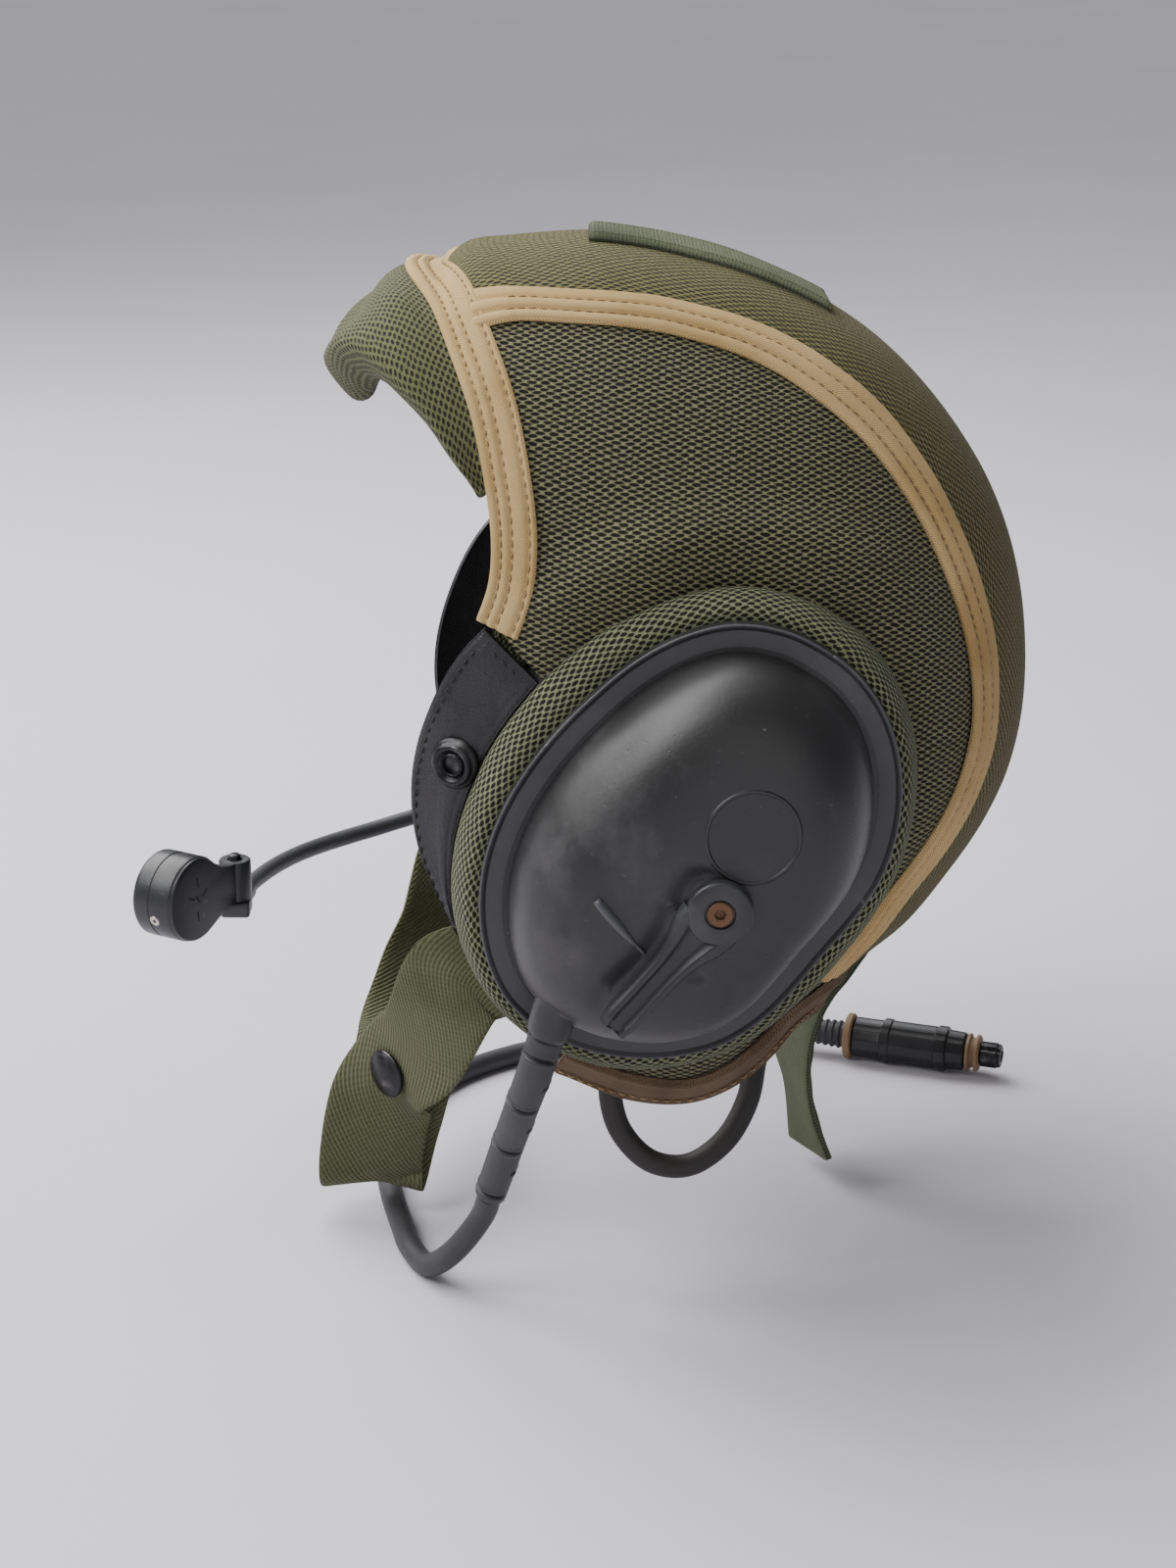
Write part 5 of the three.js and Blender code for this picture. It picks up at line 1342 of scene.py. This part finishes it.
def boom():
    """Coated rod from the right arm to the microphone, with a ferrule at each end."""
    body = "boom_arm"
    way = below(RIGHT_ARM_ANGLE)
    end = np.array([-ARM_BASE - 1.2, *(np.array(HUB) + way * (ARM_REACH + FIT_GAP))])
    reach = MIC_POST[1] - end[1]
    route = [
        end, end + np.array([0, *way]) * 6,
        end + (0.8, -13, -11.5), end + (3.5, -36, -12), end + (9.5, -64, -9),
        (-96, end[1] + reach * 0.74, MIC_POST[2] - 4), (-70, end[1] + reach * 0.9, MIC_POST[2] - 3),
        (-42, end[1] + reach * 0.98, MIC_POST[2] - 1.5), MIC_POST - (3, 0, 0),
    ]
    line = smooth_line(route)
    rod = loft("rod", tube_rings(at_shares(line, np.linspace(0, 1, 150)), 2.7, 24), RUBBER, body=body)
    ferrules = []
    for start, stop, radius in ((0.0, 0.04, 3.5), (0.93, 0.99, 3.4)):
        share = np.linspace(start, stop, 12)
        swell = radius * np.interp(np.linspace(0, 1, 12), (0, 0.08, 0.92, 1), (0.82, 1, 1, 0.82))
        rings = tube_rings(at_shares(line, share), swell[:, None], 24)
        ferrules.append(loft("ferrule", rings, ARM_PLASTIC, body=body))
    block = rounded_box("block", MIC_POST, (10, 9, 5), np.eye(3), 0.9, ARM_PLASTIC, body)
    pin = lathe("pin", MIC_POST, UP, [(2, 0), (2, 17), (1.6, 17.4)], DARK_METAL, body=body)
    trim(join("boom_rod", rod, *ferrules, block, pin), "boom")


# Profiles of the microphone's turned pieces, as radius and distance
DRUM_ROWS = [
    (11.2, -0.2), (12.6, 0.1), (13.4, 1.0), (13.5, 1.8), (13.5, 6.2), (13.25, 6.4), (13.25, 6.9),
    (13.5, 7.1), (13.5, 13.6), (13.2, 14.4), (12.6, 14.9),
]
KNUCKLE_ROWS = [(2.4, 0), (4.6, 0), (5, 0.4), (5, 12.6), (4.6, 13), (2.4, 13), (2.4, 0)]
MIC_SCREW_ROWS = [(1.7, -0.4), (1.7, 0.3), (1.4, 0.5), (0.7, 0.45), (0.6, 0.1)]


def microphone():
    """Drum with a slotted plate on its face, on a knuckle round the boom's pin."""
    body = "microphone"
    foot = np.array([MIC_POST[0], MIC_POST[1], KNUCKLE_Z])
    face = foot + UP + MIC_AWAY * 23 + MIC_AXIS * 2.5

    def on_face(a, b, depth):
        return face + MIC_AWAY * a + UP * b + MIC_AXIS * depth

    drum = lathe(
        "drum", face - MIC_AXIS * 15, MIC_AXIS, DRUM_ROWS, MIC_PLASTIC, sides=96, body=body, sharp=50,
    )
    turn = np.radians(np.linspace(-110, 110, 60))
    tail = np.array([(-13, 6.5), (-17, 5.6), (-20, 5.4), (-20, -7.4), (-17, -7.4), (-13, -8.5)])
    outline = np.vstack([np.stack([np.cos(turn), np.sin(turn)], -1) * 13.1, tail])
    rings = [
        [on_face(a, b, depth) for a, b in outline * (1 - inset / 13)]
        for depth, inset in ((0.6, 0.7), (0.45, 0.25), (0.1, 0.0), (-3.5, 0.0), (-4.0, 0.5))
    ]
    plate = loft("plate", rings, MIC_PLASTIC, body=body, sharp=50)
    slits = []
    # The slits are dark boxes flush with the plate: painted shade of their openings
    for a, b, tilt in ((0.0, 5.6, 80), (3.2, 1.2, 25), (-3.4, 1.4, -35), (0.4, -5.4, 85), (0.2, 0.2, 55)):
        cos, sin = math.cos(math.radians(tilt)), math.sin(math.radians(tilt))
        axes = (MIC_AWAY * cos + UP * sin, UP * cos - MIC_AWAY * sin, MIC_AXIS)
        slits.append(rounded_box("slit", on_face(a, b, 0.25), (3.6, 1.0, 0.8), axes, 0.3, SLIT_SHADE, body))
    knuckle = lathe(
        "knuckle", foot - UP * 6.5, UP, KNUCKLE_ROWS, MIC_PLASTIC, ends=(False, False), body=body, sharp=45,
    )
    screw_way = unit(MIC_AWAY * 0.95 - UP * 0.3)
    spot = face - MIC_AXIS * 6.6 + screw_way * 13.2
    screw = lathe("mic_screw", spot, screw_way, MIC_SCREW_ROWS, PALE_METAL, body=body)
    parts = join("microphone_head", drum, plate, *slits, knuckle, screw)
    trim(parts, "microphone")


boom()
microphone()

# Leather tabs and snaps

TAB_ROWS = np.array([(0, 31), (0.14, 31), (0.33, 28.5), (0.52, 24.8), (0.7, 19.5), (0.86, 13.6), (1, 10)])
TAB_THICK = 2.5
front_stop = at_shares(front_line, [FRONT_END])[0]
TAB_FIRST = float(turn_of(front_stop[1], front_stop[2])) + 1.4
TAB_END = 142.0


def tab_at(share, across, lift):
    turn = mix(TAB_FIRST, TAB_END, share)
    y, z = around_cup(turn, mix(surround_edge(turn), along(TAB_ROWS, 0, 1, share), across))
    return cap_point(*cap_over(y, z), lift)


def tab_thread(share, across):
    """A stitch row for stitches(), over the tab at shares along and across it."""
    points, high = (tab_at(share, across, 0 * share + up) for up in (0, 1))
    way = lengths(points)

    def place(run):
        low = at_lengths(points, run, way)
        return low, unit(at_lengths(high, run, way) - low)

    return place, way[-1]


def leather_tab(right):
    """Creased leather, its double edge stitched."""
    share, across = np.meshgrid(np.linspace(0, 1, 90), np.linspace(0, 1, 34), indexing="ij")
    wave = 0.35 * ripple(share * 16, across * 5, 41)
    wave = wave + 0.45 * bump(across - 0.25, 0.12) * step(0.1, 0.3, share)
    edge = np.minimum(np.minimum(across, 1 - across) * 22, np.minimum(share, 1 - share) * 95)
    lift = -0.55 * bump(edge, 0.8) + wave * step(0, 3, edge) - 0.35 * bump(edge - 2.6, 0.5)
    outer = tab_at(share, across, lift)
    inner = tab_at(share, across, 0 * share - TAB_THICK + 0.3)
    side = name_of(right)
    made = padded_sheet("tab_" + side, outer, inner, cloth_uv(outer), LEATHER, bulge=0.3, right=right)
    trim(made, "leather_tab_" + side)
    long, short = np.linspace(0.03, 0.97, 80), np.linspace(0.12, 0.86, 30)
    rows = [tab_thread(long, 0 * long + 0.87), tab_thread(0 * short + 0.03, short)]
    stitches("tab_thread_" + side, rows, right=right, look=DARK_THREAD, pitch=3.4)


SNAP_TURN = 102.5
SNAP_REACH = 15.2
# Profile of the snap's socket, as radius and height over the tab
SNAP_ROWS = [
    (7.2, -0.1), (7.5, 0.2), (7.4, 0.8), (6.6, 1.5), (6.2, 1.7), (6.0, 2.6), (5.6, 3.1), (5.0, 3.2),
    (4.4, 2.9), (4.1, 2.2), (3.6, 2.0), (3.3, 2.6), (2.9, 2.8), (2.6, 2.5), (2.5, 1.1), (1.6, 1.0),
]


def snap_socket(right):
    """Socket of a snap, on the leather tab."""
    y, z = around_cup(np.array(SNAP_TURN), SNAP_REACH)
    angle, lean = cap_over(np.array(y), np.array(z))
    skin = cap_point(angle, lean)
    out = unit(cap_point(angle, lean, 1.0) - skin)
    name, kind = "snap_" + name_of(right), {"sides": 64, "right": right, "sharp": 60}
    made = lathe(name, skin + out * 0.5, out, SNAP_ROWS, DARK_METAL, **kind)
    trim(made, "snap_socket_" + name_of(right))


for right in (False, True):
    leather_tab(right)
    snap_socket(right)

# Straps

STRAP_TURN = 155.0
STRAP_WIDTH = 32.0
NAPE_WIDTH = 25.0
SNAP_SPOT = (34, -86, -242)
root_y, root_z = around_cup(np.array([STRAP_TURN, STRAP_TURN + 1]), surround_edge(np.array(STRAP_TURN)) - 1)
root_wide = unit(np.array([0, root_y[1] - root_y[0], root_z[1] - root_z[0]]))
root_out = unit(np.array([-0.35, root_wide[2], -root_wide[1]]))
root = cap_point(*cap_over(root_y[:1], root_z[:1]), 0.0)[0] - [SIDE_WALL / 2, 0, 0]
# Rows of the chin strap, from the left cup to the right: a place and the way across the webbing there
STRAP_SIDE = [(root, root_wide), (root + root_out * 8, root_wide), ((47, -76.5, -228), (0.25, 0.5, -0.83))]
STRAP_ROWS = STRAP_SIDE + [
    (SNAP_SPOT, (0.62, 0.58, -0.53)), ((29.5, -90.5, -256), (0.05, 0.95, -0.3)),
    ((28.5, -93, -269), (-0.1, 1, -0.05)), ((27, -94, -279.5), (-0.12, 1, 0)),
    ((23.5, -93.5, -283.5), (-0.12, 1, 0)), ((20, -92, -280), (-0.12, 1, 0)),
    ((20, -89, -268), (-0.08, 0.98, -0.1)), ((22, -86, -256), (0.1, 0.9, -0.35)),
    ((22, -84, -248), (0.1, 0.9, -0.4)), ((12, -83.5, -245.5), (0.05, 0.9, -0.4)),
    ((-4, -84, -247.5), (0, 0.9, -0.4)), ((-20, -83, -245.5), (-0.1, 0.8, -0.55)),
    ((-34, -81, -239), (-0.1, 0.66, -0.73)),
] + [(np.array(p) * [-1, 1, 1], np.array(w) * [-1, 1, 1]) for p, w in reversed(STRAP_SIDE)]


def ribbon(name, rows, width, thick, look, steps, bumps):
    """A flat strap along a path, its edges rounded. Bumps gives extra height by length and share across."""
    line = smooth_line([p for p, _ in rows])
    wides = smooth_line([w for _, w in rows])
    way = lengths(line)
    run = np.linspace(0, 1, steps) * way[-1]
    spot, wide = at_lengths(line, run, way), at_lengths(wides, run, way)
    ahead = unit(np.gradient(spot, axis=0))
    wide = unit(wide - ahead * np.sum(wide * ahead, -1, keepdims=True))
    out = np.cross(wide, ahead)
    s = np.concatenate([[-0.5, -0.49], np.linspace(-0.46, 0.46, 22), [0.49, 0.5]])
    half = thick / 2 * np.concatenate([[0.45, 0.8], np.ones(22), [0.8, 0.45]])
    extra = bumps(run[:, None], s[None])
    flat = spot[:, None] + wide[:, None] * (s * width)[None, :, None]
    outer = flat + out[:, None] * (half[None] + extra)[..., None]
    inner = flat - out[:, None] * half[None, :, None]
    uv = np.stack(np.broadcast_arrays((s * width)[None], run[:, None]), -1)
    return padded_sheet(name, outer, inner, uv, look), spot, out, way[-1]


def strap_bumps(run, s):
    """Slanting ribs of the twill, and a piped edge near its root."""
    ribs = 0.10 * np.sin((run * 0.85 + s * STRAP_WIDTH * 0.53) * 2 * math.pi / 1.9)
    return ribs + 0.9 * bump(run - 9.5, 1.1)


def nape_bumps(run, s):
    return 0.25 * ripple(run / 2.5, s * 9, 52)


strap, strap_spots, strap_outs, strap_length = ribbon(
    "strap_webbing", STRAP_ROWS, STRAP_WIDTH, 1.8, WEBBING, 620, strap_bumps,
)
trim(strap, "chin_strap")
near = np.argmin(np.linalg.norm(strap_spots - np.array(SNAP_SPOT), axis=1))
snap_out = strap_outs[near] * np.sign(strap_outs[near][0])
# Profile of the snap's cap, as radius and height over the webbing
CAP_ROWS = [
    (6.9, -0.3), (7.5, 0.1), (7.5, 0.7), (7.0, 1.15), (6.6, 1.1), (6.0, 1.5), (4.4, 2.2), (2.4, 2.7),
    (0.8, 2.85),
]
cap_start = strap_spots[near] + snap_out * 1.9
snap_cap = lathe("strap_snap_cap", cap_start, snap_out, CAP_ROWS, DARK_METAL, sides=64, sharp=60)
trim(snap_cap, "strap_snap")

nape_top = at_shares(hem_line, [0.5])[0]
NAPE_ROWS = [
    (nape_top + (0, 9, 3), (1, 0, 0)), (nape_top + (0, 2.5, -6.5), (1, 0.05, 0)),
    (nape_top + (0, -8, -20), (0.96, 0.28, 0)), (nape_top + (0, -12.5, -36), (0.93, 0.37, 0)),
    (nape_top + (0, -10, -52), (0.96, 0.27, 0)), (nape_top + (0, -6, -71), (0.9, 0.44, 0)),
]
nape, *_, nape_length = ribbon("nape_tab", NAPE_ROWS, NAPE_WIDTH, 2.6, TAPE, 120, nape_bumps)
trim(nape, "nape_strap")

# Floor and light

floor_look = Look("floor", 0.85)
floor_color = floor_look.blend(floor_look.noise(3.0, 2.0), (0.60, 0.58, 0.64), (0.67, 0.64, 0.70))
floor_mesh = bpy.data.meshes.new("floor")
floor_corners = [(x * FLOOR_REACH, y * FLOOR_REACH, FLOOR) for x, y in ((-1, -1), (1, -1), (1, 1), (-1, 1))]
floor_mesh.from_pydata(floor_corners, [], [(0, 1, 2, 3)])
floor_mesh.materials.append(floor_look.finish(floor_color))
floor = bpy.data.objects.new("floor", floor_mesh)
bpy.context.scene.collection.objects.link(floor)


def light(name, kind, power, turn, place=(0, 0, 0), **extra):
    """A light with its turn in radians."""
    data = bpy.data.lights.new(name, kind)
    data.energy = power
    for key, value in extra.items():
        setattr(data, key, value)
    made = bpy.data.objects.new(name, data)
    made.location = place
    made.rotation_euler = turn
    bpy.context.scene.collection.objects.link(made)


# Square lights that face the middle of the helmet: name, place, size and power
LIT_SPOT = np.array((0, 0, -0.12))
for name, place, size, power in (
    ("key", (0.50, -1.15, 1.10), 1.1, 26), ("top", (-0.62, -0.62, 0.86), 1.2, 28),
    ("fill", (1.5, 0.5, 0.3), 1.4, 5),
):
    way = LIT_SPOT - place
    turn = (math.atan2(math.hypot(way[0], way[1]), -way[2]), 0, math.atan2(way[1], way[0]) - math.pi / 2)
    light(name, "AREA", power, turn, place, size=size)
light("sky", "SUN", 1.5, (math.radians(28), 0, math.radians(-40)), angle=math.radians(75))
world = bpy.data.worlds.new("studio")
bpy.context.scene.world = world
world.use_nodes = True
world.node_tree.nodes["Background"].inputs["Color"].default_value = (0.92, 0.93, 1.0, 1)
world.node_tree.nodes["Background"].inputs["Strength"].default_value = 0.2
